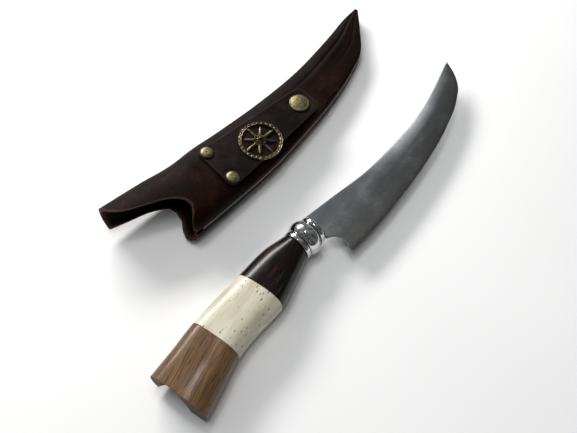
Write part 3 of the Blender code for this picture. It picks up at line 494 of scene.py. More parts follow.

# The butt's end faces carry painted light. The pale grey on the flat end is a painted reflection. The
# darkening over SCOOP_SHADE_DEPTH into the scoop is painted shade over the wood's own dark end grain.
end_grain = Finish("end_grain_with_painted_light", Roughness=0.6, Specular_IOR_Level=0.12)
depth = end_grain.span(end_grain.node("SeparateXYZ", {"Vector": end_grain.place}).outputs["X"], 0, 1,
                       float(butt_low[0]), float(butt_low[0]) + SCOOP_SHADE_DEPTH)
dots = end_grain.noise(end_grain.along(HANDLE_FRONT, 0, (300, 1900, 1900)), detail=3)
end_tone_and_painted_light = end_grain.ramp(depth, (0.0, (0.075, 0.062, 0.052)), (0.25, (0.050, 0.036, 0.028)),
                       (1.0, (0.0075, 0.0035, 0.0022)))
dot_shade = end_grain.ramp(dots, (0.36, (0.5,)), (0.55, (1.1,)))
end_grain.colour(end_grain.mixed(0.8, end_tone_and_painted_light, dot_shade, "MULTIPLY"))
end_grain.relief(dots, 0.0001, 0.4)

for name, node, start, end, material, slot in (
        ("handle_ebony", "handle_dark_wood", BOLSTER_CLEARANCE, DARK_WOOD_END - GLUE_LINE, ebony, "ebony"),
        ("handle_bone_block", "handle_bone", DARK_WOOD_END + GLUE_LINE, BONE_END - GLUE_LINE, bone,
         "polished_bone"),
        ("handle_walnut", "handle_brown_wood", BONE_END + GLUE_LINE, HANDLE_LENGTH, walnut, "oiled_walnut")):
    block = skin(name, block_grid(start, end, scooped=node == "handle_brown_wood"), soft_angle=28)
    block.data.materials.append(material.material)
    if node == "handle_brown_wood":
        block.data.materials.append(end_grain.material)
        normals = np.empty(len(block.data.polygons) * 3)
        block.data.polygons.foreach_get("normal", normals)
        block.data.polygons.foreach_set("material_index", (normals[::3] < -0.6).astype(np.int32))
    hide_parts(node)
    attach(block, "knife")

# The epoxy that beds the tang shows only when the handle is taken apart: it keeps its CAD solid.
epoxy = Finish("amber_epoxy", Roughness=0.3, Transmission_Weight=0.3)
amber = epoxy.noise(epoxy.place, scale=300)
epoxy.colour(epoxy.ramp(amber, (0.3, (0.42, 0.30, 0.10)), (0.7, (0.60, 0.47, 0.22))))
frame["nodes"]["tang_bedding"].material_slots[0].material = epoxy.material


# ------------------------------------------------------------------ sheath
# One piece of oxblood leather, wet-moulded round the knife and folded along the spine side, its
# two edges glued to a leather welt.  The mouth is cut back to a tongue that lies along the handle.
LEATHER = 2.2 * MM
WELT_WIDTH = 4.5 * MM
MOUTH = -67.0 * MM                # along the sheath, from where the bolster's front face would be
SHEATH_END = 158.0 * MM
MOUTH_HALF = 14.4 * MM            # half thickness of the sheath, from the mouth to the tip
THROAT_HALF = 13.6 * MM
HEEL_HALF = 9.2 * MM
BODY_HALF = 5.8 * MM
TIP_HALF = 3.7 * MM
SEAM_HALF = 3.6 * MM
SPINE_MARGIN = 6.2 * MM           # from the blade's spine to the outside of the fold
EDGE_MARGIN = 6.2 * MM            # from the cutting edge to the outside of the seam
CREST = 0.4                       # where a panel is thickest, as a share of the way round
SQUARENESS = 2.5                  # of a panel's oval section
SHEATH_ORIGIN = np.array([-19.39, 43.231, 13.609]) * MM
SHEATH_PITCH = atan2(MOUTH_HALF - TIP_HALF, SHEATH_END - MOUTH)
SHEATH_TURN = radians(-11.0)
# Edges of the front and the back panel round the mouth, from the tongue to the seam (mm)
FRONT_MOUTH = ((-67, 7.5), (-65.5, 3.0), (-61.8, -1.5), (-56.2, -5.1), (-48.3, -8.6), (-39.6, -12.3),
               (-33.5, -16.0), (-29.5, -20.5), (-28.2, -25.5), (-30.2, -30.2), (-33.6, -33.1),
               (-36, -35.2), (-34, -39))
BACK_MOUTH = ((-67, 6.4), (-64, 5.9), (-59, 4.9), (-52.9, 3.6), (-43.8, 1.6), (-37, -1.4),
              (-31.4, -4.9), (-30.3, -10.2), (-31.5, -16.4), (-36, -22.5), (-38.4, -28.1),
              (-37.3, -32.6), (-31, -38.5))


def spine_at(share):
    """Height of the blade's spine at a share of its length."""
    return smooth(SPINE_LINE, share) * MM


def edge_at(share):
    """Height of the cutting edge at a share of the blade's length."""
    return smooth(EDGE_LINE, share) * MM


FOLD_TABLE = ((MOUTH, 12.5 * MM), (0.6 * MOUTH, 10.0 * MM), (-BOLSTER_LENGTH, spine_at(0) - 1.2 * MM),
              (0, spine_at(0) + 0.2 * MM), (0.15 * BLADE_LENGTH, spine_at(0.15) + 2.6 * MM),
              *((share * BLADE_LENGTH, spine_at(share) + room * SPINE_MARGIN)
                for share, room in ((0.35, 0.9), (0.6, 1), (0.85, 0.9), (1.0, 0.55))),
              (SHEATH_END, spine_at(1.0) + 0.65 * SPINE_MARGIN))
SEAM_TABLE = ((MOUTH, -37 * MM), (MOUTH / 2, -36 * MM), (0, -35 * MM),
              *((share * BLADE_LENGTH, edge_at(share) - room * EDGE_MARGIN) for share, room in
                ((0.2, 1.3), (0.4, 1), (0.6, 0.8), (0.78, 0.65), (0.9, 0.6), (0.97, 0.65))),
              (153.5 * MM, edge_at(1.0) - 0.55 * EDGE_MARGIN),
              (SHEATH_END, spine_at(1.0) + 0.65 * SPINE_MARGIN - 3.0 * MM))
HALF_TABLE = ((MOUTH, MOUTH_HALF), (-BOLSTER_LENGTH - 12 * MM, MOUTH_HALF),
              (-0.5 * BOLSTER_LENGTH, THROAT_HALF), (0, 0.5 * (THROAT_HALF + HEEL_HALF)),
              (0.06 * BLADE_LENGTH, HEEL_HALF),
              (0.2 * BLADE_LENGTH, 0.5 * (HEEL_HALF + BODY_HALF) - 0.3 * MM),
              (0.45 * BLADE_LENGTH, BODY_HALF), (0.8 * BLADE_LENGTH, 0.5 * (BODY_HALF + TIP_HALF)),
              (SHEATH_END, TIP_HALF))


def on_sheath(points):
    """From the sheathed blade's frame to the table's."""
    return points @ (turned_about("z", SHEATH_TURN) @ turned_about("y", SHEATH_PITCH)).T + SHEATH_ORIGIN


def bump(x, centre, width):
    """Smooth hill of height 1: a bell curve about a centre."""
    return np.exp(-((x - centre) / width) ** 2)


def sheath_lines(u):
    """Fold, seam, crest and half thickness at each place along the sheath."""
    fold, seam, half = smooth(FOLD_TABLE, u), smooth(SEAM_TABLE, u), smooth(HALF_TABLE, u)
    return fold, seam, fold - CREST * (fold - seam), half


def sheath_point(u, w, inset=0.0, welt=0.0):
    """Section of the sheath: w runs from 0 at the front panel's seam edge over the crest at 0.4,
    round the fold at 0.5 and back along the other panel to 1.  Panels are squared-off ovals down
    to the seam; the fold closes them.  Inset moves the surface inwards by the wall."""
    fold, seam, crest, half = sheath_lines(u)
    seam, fold = seam + welt, fold - inset
    crest = np.maximum(crest, seam + 0.5 * MM)
    side = np.where(w <= 0.5, 1.0, -1.0)
    t = np.where(w <= 0.5, w, 1 - w)
    over = np.clip(t / CREST, 0, 1)
    v_panel = seam + (crest - seam) * (1 - (1 - over) ** 1.6)
    q = np.clip((crest - v_panel) / (crest - seam + welt + 1e-6), 0, 1)
    z_panel = SEAM_HALF + (half - SEAM_HALF) * (1 - q**SQUARENESS) ** (1 / SQUARENESS) - inset
    angle = np.clip((t - CREST) / (0.5 - CREST), 0, 1) * pi / 2
    v_fold = crest + (fold - crest) * np.sin(angle) ** 0.8
    z_fold = (half - inset) * np.cos(angle) ** 0.8
    v = np.where(t <= CREST, v_panel, v_fold)
    z = np.maximum(np.where(t <= CREST, z_panel, z_fold), 0.0)
    return np.stack([u + 0 * v, v, side * z], axis=-1)


def moulding(u, v, front):
    """Hand-pressed detail of the leather: the step where it closes on the bolster, and the two
    creases that follow the blade's spine and edge towards the tip.  The panel that lies on the
    table is only pressed inwards."""
    fold, seam = smooth(FOLD_TABLE, u), smooth(SEAM_TABLE, u)
    far = 1 / (1 + np.exp(-(u - 80 * MM) / (6 * MM)))
    tip = 1 / (1 + np.exp(-(u - 112 * MM) / (7 * MM)))
    width = fold - seam
    spine_crease = bump(v, fold - 0.30 * width, 0.9 * MM) * far
    edge_crease = bump(v, seam + 0.36 * width, 1.2 * MM) * tip
    raised = bump(v, fold - 0.40 * width, 0.07 * width) * far
    step = bump(u, -9.5 * MM, 2.6 * MM) * bump(v, -14 * MM, 11 * MM)
    swell = bump(u, -21 * MM, 9 * MM) * bump(v, -8 * MM, 9 * MM)
    pull = bump(u, -3 * MM, 3.0 * MM) * bump(v, -24 * MM, 7 * MM)
    dent = (-0.42 * spine_crease - 0.20 * edge_crease + 0.22 * raised
            - 0.9 * step + 0.4 * swell - 0.45 * pull) * MM
    return np.where(front, dent, np.minimum(0.5 * dent, 0))


def mouth_start(w, inset, welt):
    """Where each lengthwise line of the surface begins: the last place that the mouth's cut,
    which slides from the back panel's line to the front panel's with height, takes away."""
    u = np.linspace(MOUTH, -15 * MM, 500)[:, None]
    spot = sheath_point(u, w[None, :], inset, welt)
    share = np.clip(spot[..., 2] / (2 * MOUTH_HALF) + 0.5, 0, 1)
    back_u, back_v = np.array(BACK_MOUTH)[::-1].T * MM
    front_u, front_v = np.array(FRONT_MOUTH)[::-1].T * MM
    layers = 8
    levels = np.linspace(0, 1, layers + 1)
    stack = np.array([np.interp(spot[..., 1], back_v + (front_v - back_v) * level,
                                back_u + (front_u - back_u) * level) for level in levels])
    place = share * layers
    lower = np.clip(place.astype(int), 0, layers - 1)
    rest = place - lower
    limit = (np.take_along_axis(stack, lower[None], 0)[0] * (1 - rest)
             + np.take_along_axis(stack, lower[None] + 1, 0)[0] * rest)
    gone = u < limit
    last = np.where(gone.any(axis=0), len(u) - 1 - np.argmax(gone[::-1], axis=0), 0)
    return np.maximum(limit[last, np.arange(len(w))], MOUTH)


def sheath_grid():
    """Rows run from the hollow's blind end out to the mouth, over the cut edge, and back along the
    outside to the tip.  Columns go round, with the seam's face and the welt's slot as the last."""
    w = np.concatenate([np.linspace(0, CREST, 60)[:-1], np.linspace(CREST, 1 - CREST, 61),
                        np.linspace(1 - CREST, 1, 60)[1:]])
    t_out = np.concatenate([np.linspace(0, 0.1, 16)[:-1], np.linspace(0.1, 0.9, 130)[:-1],
                            np.linspace(0.9, 1, 22)])
    t_in = np.linspace(1, 0, 110)

    def surface(t, inset, welt, end):
        """Points of one skin from the mouth to its end, and how near each is to the cut edge."""
        start = mouth_start(w, inset, welt)
        u = start[None, :] + (end - start[None, :]) * t[:, None]
        points = sheath_point(u, w[None, :], inset, welt)
        dent = moulding(u, points[..., 1], points[..., 2] > 0) * np.clip(np.minimum(w, 1 - w) / 0.05, 0, 1)
        off_seam = np.abs(points[..., 2]) > 2 * MM
        points[..., 2] += np.sign(points[..., 2]) * dent * off_seam * (0.4 if inset else 1)
        near_cut = np.exp(-(u - start[None, :]) / ((2.5 if inset else 0.55) * MM))
        return points, np.pad(near_cut, ((0, 0), (0, 6)), mode="edge")

    inner, inner_cut = surface(t_in, LEATHER, WELT_WIDTH, 151 * MM)
    outer, outer_cut = surface(t_out, 0.0, 0.0, SHEATH_END)
    low_in, low_out = inner[:, :1], outer[:, :1]
    lips, slot_half, slot_depth = 1.28 * MM, 1.2 * MM, 3.2 * MM
    steps = ((SEAM_HALF - 0.25 * MM, 0), (lips, 0), (slot_half, slot_depth), (-slot_half, slot_depth),
             (-lips, 0), (-SEAM_HALF + 0.25 * MM, 0))
    seam_out, seam_in = [], []
    for z, depth in steps:
        ring = low_out.copy()
        ring[..., 1] += np.minimum(depth, 0.6 * (outer[:, 60:61, 1] - low_out[..., 1]))
        ring[..., 2] = z
        seam_out.append(ring)
        ring = low_in.copy()
        ring[..., 2] *= z / SEAM_HALF
        seam_in.append(ring)
    outer = np.concatenate([outer] + seam_out[::-1], axis=1)
    inner = np.concatenate([inner] + seam_in[::-1], axis=1)
    return on_sheath(np.concatenate([inner, outer], axis=0)), np.concatenate([inner_cut, outer_cut])


sheath_surface, cut_edge = sheath_grid()
leather_sheath = skin("sheath_body_leather", sheath_surface, soft_angle=40, mark=cut_edge)
rounded(leather_sheath, 0.45 * MM, angle=55)


def leather_finish(name, dark, middle, light, grain_scale, rough, rub, edge):
    """Dyed leather: three tones in soft clouds, pebbled grain, painted shade in the hollows of its wrinkles
    and painted light on their tops, and paler rubbed places. Its marked edges are paler: cut edges where the
    dye is thin, and on the strap also a painted highlight."""
    hide = Finish(name, Specular_IOR_Level=0.05)
    clouds = hide.noise(hide.place, scale=45, detail=5, rough=0.6)
    tone = hide.ramp(clouds, (0.32, dark), (0.52, middle), (0.74, light))
    pebble = hide.node("TexVoronoi", {"Vector": hide.place}, feature="SMOOTH_F1", Scale=grain_scale,
                       Randomness=1.0).outputs["Distance"]
    wrinkle = hide.noise(hide.place, scale=grain_scale * 0.45, detail=6, rough=0.65)
    rubbed = hide.ramp(hide.noise(hide.place, scale=95, detail=3), (0.56, (0.0,)), (0.80, (0.6,)))
    # Painted shade and light: the colour is darker in the hollows of the wrinkle relief and lighter on its
    # tops.
    fold_shade = hide.ramp(wrinkle, (0.34, (0.45,)), (0.52, (1.0,)), (0.68, (1.6,)))
    wrinkle_shaded_tone = hide.mixed(0.7, tone, fold_shade, "MULTIPLY")
    marked = hide.node("Attribute", attribute_name="mark").outputs["Fac"]
    # Paler edges: on the sheath the cut edge where the dye is thin, and on the strap partly a painted
    # highlight along its edges.
    pale_edge_dye_and_highlight = hide.ramp(marked, (0.25, (0.0,)), (0.85, (0.85,)))
    hide.colour(hide.mixed(pale_edge_dye_and_highlight, hide.mixed(rubbed, wrinkle_shaded_tone, rub), edge))
    hide.roughness(hide.span(wrinkle, rough - 0.09, rough + 0.12, 0.3, 0.7))
    under = hide.relief(pebble, 0.00018, 0.25)
    hide.relief(wrinkle, 0.00025, 0.35, under)
    return hide


oxblood = leather_finish("oxblood_moulded_leather", (0.0030, 0.0013, 0.0010), (0.0080, 0.0030, 0.0022),
                         (0.0165, 0.0060, 0.0042), 900, 0.54, (0.020, 0.010, 0.0085), (0.060, 0.030, 0.019))
leather_sheath.data.materials.append(oxblood.material)
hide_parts("sheath_leather")
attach(leather_sheath, "sheath")


def welt_grid():
    """A strip of leather that follows the seam, from the mouth to the tip: a flat ring of four
    corners at each place, from just inside the seam to 3 mm deeper."""
    u = np.linspace(-30 * MM, 156.5 * MM, 160)
    fold, seam = smooth(FOLD_TABLE, u), smooth(SEAM_TABLE, u)
    inner = np.minimum(seam + 3.0 * MM, 0.5 * (seam + fold))
    z = 1.12 * MM
    ring = [(seam + 0.02 * MM, z), (inner, z), (inner, -z), (seam + 0.02 * MM, -z)]
    return on_sheath(np.stack([np.stack([u, v, np.full_like(u, h)], axis=-1) for v, h in ring], axis=1))


welt = skin("sheath_welt_strip", welt_grid())
rounded(welt, 0.25 * MM)
raw = Finish("burnished_welt_edge", Roughness=0.6)
layers = raw.noise(raw.along(SHEATH_ORIGIN, SHEATH_TURN, (60, 700, 1500)), detail=4)
raw.colour(raw.ramp(layers, (0.3, (0.075, 0.042, 0.026)), (0.55, (0.16, 0.10, 0.062)),
                    (0.8, (0.30, 0.22, 0.15))))
raw.relief(layers, 0.0002, 0.4)
welt.data.materials.append(raw.material)
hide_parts("sheath_welt")
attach(welt, "sheath")


# ------------------------------------------------------------------ strap
# A belt strap of thick black-brown leather.  Two rivets hold one end to the sheath, a press snap
# the other; it lies on the throat, bends just past the rivets and runs flat to the snap.
STRAP_TURN = radians(1.5)
HINGE_PLACE, STRAP_CENTRE = 11.5 * MM, -16.2 * MM
STRAP_START, STRAP_END = -16.0 * MM, 64.5 * MM
STRAP_WIDTH, STRAP_END_WIDTH = 32.0 * MM, 19.0 * MM
ROOT_PITCH = radians(8.0)


def panel_height(u, v):
    """Height of the front panel's outer face over the sheath's middle plane."""
    fold, seam, crest, half = sheath_lines(u)
    q = np.clip((crest - v) / (crest - seam), 0, 1)
    r = np.clip((v - crest) / (fold - crest), 0, 1)
    oval_q, oval_r = ((1 - x**SQUARENESS) ** (1 / SQUARENESS) for x in (q, r))
    return np.where(v < crest, SEAM_HALF + (half - SEAM_HALF) * oval_q, half * oval_r)


STRAP_JOINT = {joint["name"]: joint for joint in frame["record"]["behaviour"]["joints"]}["strap_open"]
STRAP_ROLL = atan2(float(panel_height(-0.2 * MM, -5.2 * MM) - panel_height(-0.2 * MM, -27.2 * MM)), 22 * MM)
SHEATH_AXES = turned_about("z", SHEATH_TURN) @ turned_about("y", SHEATH_PITCH)
HINGE = (np.array(STRAP_JOINT["pos_m"]) - SHEATH_ORIGIN) @ SHEATH_AXES
SNAP_REACH = 55.0 * MM
SNAP_LEVEL = float(panel_height(HINGE_PLACE + SNAP_REACH, STRAP_CENTRE)) + 6.3 * MM
FLAP_PITCH = atan2(HINGE[2] - SNAP_LEVEL, SNAP_REACH)
RIVETS = ((-11.7 * MM, 11 * MM), (-11.7 * MM, -11 * MM))
CONCHO_SPOT = (18.0 * MM, -3.4 * MM)
BEND_HALF = 5.0 * MM              # the strap bends over this length, either side of its hinge line
PATH_STEP = 0.05 * MM

path_s = np.linspace(-20 * MM, 70 * MM, 1801)
path_pitch = np.interp(path_s, (-BEND_HALF, BEND_HALF), (ROOT_PITCH, FLAP_PITCH))
path_x = np.cumsum(np.cos(path_pitch)) * PATH_STEP
path_z = -np.cumsum(np.sin(path_pitch)) * PATH_STEP
path_x -= np.interp(0, path_s, path_x)
path_z -= np.interp(0, path_s, path_z)


def on_strap(points):
    """From the strap, with s along it from its bend, y across and n up from its top face, to the
    table's frame.  The strap's slope changes evenly over the bend."""
    s, y, n = np.moveaxis(points, -1, 0)
    pitch = np.interp(s, path_s, path_pitch)
    across, up = y * cos(STRAP_ROLL) - n * sin(STRAP_ROLL), y * sin(STRAP_ROLL) + n * cos(STRAP_ROLL)
    x = np.interp(s, path_s, path_x) + up * np.sin(pitch)
    z = np.interp(s, path_s, path_z) + up * np.cos(pitch)
    local = np.stack([x, across, z], axis=-1) @ turned_about("z", STRAP_TURN).T + HINGE
    return on_sheath(local)


def strap_grid():
    """Rings of a flat strap with rounded long edges, tapering to the snap end.  Its corners are
    quarter circles, and its top face sinks a little round each fastener."""
    corner, wall = 4.0 * MM, 0.75 * MM
    ends = np.sin(np.linspace(0, pi / 2, 12)) * corner
    straight = np.linspace(STRAP_START + corner, STRAP_END - corner, 150)[1:-1]
    s = np.concatenate([STRAP_START + corner - ends[::-1], straight, STRAP_END - corner + ends])
    width = STRAP_WIDTH + (STRAP_END_WIDTH - STRAP_WIDTH) * (s - STRAP_START) / (STRAP_END - STRAP_START)
    short = np.clip(corner - np.minimum(s - STRAP_START, STRAP_END - s), 0, corner)
    half = width / 2 - corner + np.sqrt(corner**2 - short**2)
    a = np.linspace(0, pi / 2, 5)
    flat = np.linspace(-1, 1, 41)
    reach = half - wall
    cols = [(f * reach, 0 * reach) for f in flat]
    cols += [(reach + wall * np.sin(t), 0 * reach - wall * (1 - cos(t))) for t in a[1:]]
    cols += [(reach + wall * np.cos(t), 0 * reach - LEATHER + wall * (1 - sin(t))) for t in a[:-1]]
    cols += [(-f * reach, 0 * reach - LEATHER) for f in flat]
    cols += [(-reach - wall * np.sin(t), 0 * reach - LEATHER + wall * (1 - cos(t))) for t in a[1:]]
    cols += [(-reach - wall * np.cos(t), 0 * reach - wall * (1 - sin(t))) for t in a[:-1]]
    y = np.stack([c[0] for c in cols], axis=1)
    n = np.stack([c[1] for c in cols], axis=1)
    s = np.broadcast_to(s[:, None], y.shape)
    for spot, size, depth in ((RIVETS[0], 4.0, 0.5), (RIVETS[1], 4.0, 0.5), ((SNAP_REACH, 0), 6.2, 0.45)):
        away = np.clip(np.hypot(s - spot[0], y - spot[1]) - size * MM, 0, None)
        n = n - depth * MM * np.exp(-((away / (2.2 * MM)) ** 2)) * (n > -1 * MM)
    wave = 0.16 * MM * np.sin(s / (7 * MM) + 1.1) * np.cos(y / (9 * MM))
    # A mark that grows towards the strap's edges, which are painted paler: partly for the burnished edge
    # leather and partly as a painted highlight along the edges.
    inside = np.minimum(half[:, None] - np.abs(y), np.minimum(s - STRAP_START, STRAP_END - s))
    rim = np.exp(-np.clip(inside, 0, None) / (0.8 * MM))
    return on_strap(np.stack([s, y, n + wave], axis=-1)), rim


strap_surface, strap_rim = strap_grid()
strap = skin("strap_leather", strap_surface, soft_angle=50, mark=strap_rim)
rounded(strap, 0.5 * MM, angle=60, segments=3)
# The last colour paints the strap's edges paler: burnished leather with a painted highlight.
strap_hide = leather_finish("strap_black_brown_leather", (0.0045, 0.0028, 0.0027),
                            (0.0095, 0.0060, 0.0058), (0.0160, 0.0105, 0.0100), 1100, 0.58,
                            (0.022, 0.0155, 0.0145), (0.030, 0.020, 0.017))
strap.data.materials.append(strap_hide.material)
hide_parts("strap_root", "strap_flap")
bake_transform(strap)


# ------------------------------------------------------------------ rivets and snap
# Double-cap rivets and a press snap in antiqued brass.  The caps are pressed sheet domes: the
# snap's has a rolled rim round a mottled, slightly flattened middle.
brass = Finish("antique_brass", Metallic=1.0)
mottle = brass.noise(brass.place, scale=900, detail=5, rough=0.65)
tarnish = brass.noise(brass.place, scale=330, detail=4)
old = brass.ramp(mottle, (0.30, (0.09, 0.078, 0.036)), (0.50, (0.24, 0.212, 0.108)),
                 (0.72, (0.40, 0.365, 0.21)))
brass.colour(brass.mixed(brass.ramp(tarnish, (0.40, (0.0,)), (0.66, (0.6,))), old, (0.15, 0.130, 0.065)))
brass.roughness(brass.span(mottle, 0.36, 0.56, 0.3, 0.7))
brass.relief(mottle, 0.00006, 0.35)


def pressed_cap(name, profile, spot):
    """A profile of (radius, height) swept round an upright axis at a spot on the strap."""
    radius, height = np.array(profile, float).T * MM
    angle = np.linspace(0, 2 * pi, 72, endpoint=False)
    grid = np.stack([spot[0] + radius[:, None] * np.cos(angle), spot[1] + radius[:, None] * np.sin(angle),
                     np.broadcast_to(height[:, None], (len(height), 72))], axis=-1)
    return skin(name, on_strap(grid), soft_angle=60)


def dress(piece, node, body, finish):
    """A finished piece gets its material, stands in for its node and rides on its body."""
    piece.data.materials.append(finish.material)
    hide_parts(node)
    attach(piece, body)


dome = [(4.0 * cos(a) ** 0.75, -0.1 + 1.45 * sin(a)) for a in np.linspace(0.12, pi / 2 - 0.02, 22)]
rivet_dome = [(0.05, -0.25), (3.75, -0.25), (3.95, -0.12), (4.0, 0.02), *dome]
for name, spot in (("spine", RIVETS[0]), ("edge", RIVETS[1])):
    cap = pressed_cap(f"rivet_dome_{name}", rivet_dome, spot)
    dress(cap, f"rivet_cap_{name}", "sheath", brass)
middle = [(5.55 * t, 1.02 + 0.75 * (1 - t * t)) for t in np.linspace(1, 0.01, 18)]
lip_round = [(5.72 + 0.45 * cos(a), 0.55 + 0.50 * sin(a)) for a in np.linspace(-0.9, 2.1, 14)]
snap_dome = [(0.05, -0.25), (5.8, -0.25), (6.1, -0.05), *lip_round, *middle]
dress(pressed_cap("snap_dome", snap_dome, (SNAP_REACH, 0)), "snap_cap", "strap", brass)
for node in ("snap_socket", "snap_stud", "snap_post", "rivet_post_spine", "rivet_post_edge", "concho_screw"):
    frame["nodes"][node].material_slots[0].material = brass.material


# ------------------------------------------------------------------ concho
# A cast ornament of the same antiqued brass, screwed on from below: a flat ring with a line of
# dashes round an open eight-pointed star with a domed middle.
CONCHO_RADIUS = 13.6 * MM


def rim_ring():
    """A flat ring whose top carries two fine lips with a ring of short dashes between them."""
    turn = np.linspace(0, 2 * pi, 432, endpoint=False)[:, None]
    share = np.linspace(0, 1, 25)[None, :]
    dash = 1 / (1 + np.exp(-14 * (np.cos(28 * turn) + 0.25)))
    lips = bump(share, 0.10, 0.075) + bump(share, 0.90, 0.075)
    top = (0.95 + 0.42 * lips + 0.36 * dash * bump(share, 0.5, 0.17)) * MM
    radius = CONCHO_RADIUS - 2.5 * MM * (1 - share) + 0 * turn
    under = radius[:, [-1, 12, 0]]
    radius = np.concatenate([radius, under], axis=1)
    height = np.concatenate([top + 0 * turn, np.full_like(under, 0.25 * MM)], axis=1)
    return np.stack([radius * np.cos(turn), radius * np.sin(turn), height], axis=-1)


def star_grid():
    """Flat below and ridged above: the outline swings between hub and ring eight times, long and
    short, each point carries a sharp ridge, and the middle rises in a dome ringed with beads."""
    turn = np.linspace(0, 2 * pi, 384, endpoint=False)[None, :]
    point = (0.5 + 0.5 * np.cos(8 * turn)) ** 2.3
    reach = 0.49 + 0.06 * np.cos(4 * turn)
    outline = CONCHO_RADIUS * (0.27 + reach * point)
    flat_rows, raised_rows = 14, 60
    share = np.concatenate([np.linspace(0.02, 1, flat_rows), np.linspace(1, 0.004, raised_rows)])[:, None]
    under = np.arange(flat_rows + raised_rows)[:, None] < flat_rows
    r = share * outline
    ridge = 0.85 * MM * point ** 0.7 * (1 - share) ** 0.5
    hub = 1.25 * MM * np.sqrt(np.clip(1 - (r / (2.6 * MM)) ** 2, 0, 1))
    beads = 0.5 * MM * (0.5 + 0.5 * np.cos(16 * turn)) * bump(r, 3.45 * MM, 0.45 * MM)
    height = np.where(under, 0.35 * MM, 0.8 * MM + ridge + hub + beads)
    return np.stack([r * np.cos(turn), r * np.sin(turn), height], axis=-1)


def together(name, pieces):
    """One piece made of several closed shells: their points one after another, and their faces'
    corners counted on from the points before them."""
    blocks, faces, count = [], [], 0
    for piece in pieces:
        block = np.empty(len(piece.data.vertices) * 3)
        piece.data.vertices.foreach_get("co", block)
        blocks.append(block.reshape(-1, 3))
        corners = np.empty(len(piece.data.loops), np.int32)
        piece.data.loops.foreach_get("vertex_index", corners)
        starts = np.empty(len(piece.data.polygons), np.int32)
        piece.data.polygons.foreach_get("loop_start", starts)
        faces += [face.tolist() for face in np.split(corners + count, starts[1:])]
        count += len(blocks[-1])
        bpy.data.objects.remove(piece, do_unlink=True)
    mesh = bpy.data.meshes.new(name)
    mesh.from_pydata(np.concatenate(blocks).tolist(), [], faces)
    mesh.shade_smooth()
    mesh.set_sharp_from_angle(angle=radians(55))
    joined = bpy.data.objects.new(name, mesh)
    bpy.context.scene.collection.objects.link(joined)
    return joined


def seated(grid):
    """The ornament's own frame put at its place on the strap."""
    return on_strap(grid + np.array([CONCHO_SPOT[0], CONCHO_SPOT[1], 0.0]))


rim, star = skin("rim", seated(rim_ring()), loop=True), skin("star", seated(star_grid()))
rosette = together("concho_star", [rim, star])
cast = Finish("cast_antique_brass", Metallic=1.0)
pits = cast.noise(cast.place, scale=1400, detail=4, rough=0.6)
wear = cast.noise(cast.place, scale=420, detail=4)
cast.colour(cast.ramp(wear, (0.32, (0.060, 0.045, 0.024)), (0.55, (0.17, 0.132, 0.070)),
                      (0.78, (0.34, 0.275, 0.155))))
cast.roughness(cast.span(pits, 0.28, 0.50, 0.3, 0.7))
cast.relief(pits, 0.00008, 0.4)
dress(rosette, "concho", "strap", cast)


# ------------------------------------------------------------------ table, light and camera
# A plain pale table top, one broad window light from the far side, a soft light overhead and a
# dim room that brightens towards the window, seen from above the butt.
WINDOW_SIDE = (0.35, 0.78, 0.52)
TABLE_HALF = 3.0
TABLE_LEVEL = -0.1 * MM
floor_mesh = bpy.data.meshes.new("table_top")
floor_corners = [(TABLE_HALF * x, TABLE_HALF * y, TABLE_LEVEL)
                 for x, y in ((-1, -1), (1, -1), (1, 1), (-1, 1))]
floor_mesh.from_pydata(floor_corners, [], [(0, 1, 2, 3)])
floor = bpy.data.objects.new("table_top", floor_mesh)
bpy.context.scene.collection.objects.link(floor)
paint = Finish("white_table", Roughness=0.7, Specular_IOR_Level=0.2)
clouding = paint.noise(paint.place, scale=6, detail=2)
paint.colour(paint.ramp(clouding, (0.3, (0.86, 0.86, 0.86)), (0.7, (0.9, 0.9, 0.9))))
floor_mesh.materials.append(paint.material)

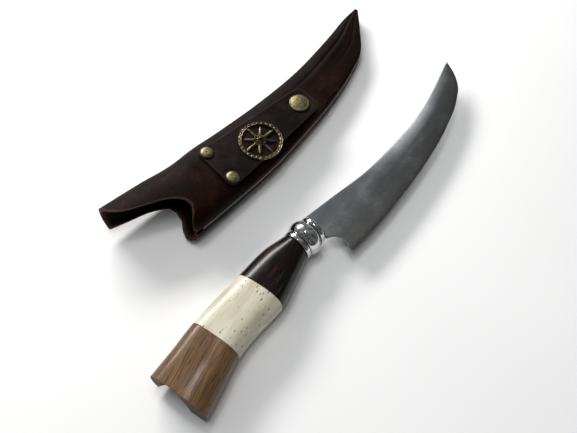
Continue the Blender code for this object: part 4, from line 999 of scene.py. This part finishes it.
world = bpy.data.worlds.new("room")
bpy.context.scene.world = world
world.use_nodes = True
sky = world.node_tree
direction = sky.nodes.new("ShaderNodeTexCoord").outputs["Generated"]
aligned = sky.nodes.new("ShaderNodeVectorMath")
aligned.operation = "DOT_PRODUCT"
sky.links.new(direction, aligned.inputs[0])
aligned.inputs[1].default_value = WINDOW_SIDE
glow = sky.nodes.new("ShaderNodeValToRGB")
for (place, level), point in zip(((0.0, 0.10), (0.72, 0.13), (0.87, 0.27), (1.0, 0.9)),
                                 (*glow.color_ramp.elements, glow.color_ramp.elements.new(0.5),
                                  glow.color_ramp.elements.new(0.6))):
    point.position = place
    point.color = (0.94 * level, 0.97 * level, level, 1)
sky.links.new(aligned.outputs["Value"], glow.inputs["Fac"])
patches = sky.nodes.new("ShaderNodeTexNoise")
patches.inputs["Scale"].default_value = 2.6
patches.inputs["Detail"].default_value = 1.0
sky.links.new(direction, patches.inputs["Vector"])
contrast = sky.nodes.new("ShaderNodeMapRange")
contrast.inputs["From Min"].default_value = 0.38
contrast.inputs["From Max"].default_value = 0.62
contrast.inputs["To Min"].default_value = 0.45
contrast.inputs["To Max"].default_value = 1.55
sky.links.new(patches.outputs["Fac"], contrast.inputs["Value"])
sky.links.new(glow.outputs["Color"], sky.nodes["Background"].inputs["Color"])
sky.links.new(contrast.outputs[0], sky.nodes["Background"].inputs["Strength"])


def window(name, place, aim, size, power, colour=(1, 1, 1)):
    """A rectangular light at a place, facing another."""
    lamp = bpy.data.lights.new(name, "AREA")
    lamp.shape = "RECTANGLE"
    lamp.size, lamp.size_y = size
    lamp.energy = power
    lamp.color = colour
    holder = bpy.data.objects.new(name, lamp)
    bpy.context.scene.collection.objects.link(holder)
    holder.location = place
    holder.rotation_euler = facing(place, aim)
    return holder


def facing(place, aim):
    """Rotation that points an object's -Z from one place to another, with its X level."""
    away = np.array(place, float) - np.array(aim, float)
    flat = np.hypot(away[0], away[1])
    return (atan2(flat, away[2]), 0, atan2(away[0], -away[1]))


window("far_window", (0.27, 0.64, 0.46), (0, 0, 0), (0.55, 0.20), 8.0, (1.0, 0.985, 0.96))
window("overhead", (0.02, 0.10, 0.85), (0, 0, 0), (0.05, 0.05), 0.5)
window("ceiling", (-0.08, 0.02, 0.90), (0, 0, 0), (0.5, 0.5), 3.4).visible_glossy = False

eye = np.array([-0.18843, -0.13773, 0.3973])
target = np.array([-0.014926, -0.017131, 0.0])
camera_data = bpy.data.cameras.new("camera")
camera_data.sensor_width = 36.0
camera_data.lens = 46.8
camera_data.clip_start = 0.01
camera = bpy.data.objects.new("camera", camera_data)
bpy.context.scene.collection.objects.link(camera)
camera.location = eye
camera.rotation_euler = facing(eye, target)
bpy.context.scene.camera = camera
bpy.context.scene.view_settings.view_transform = "Standard"
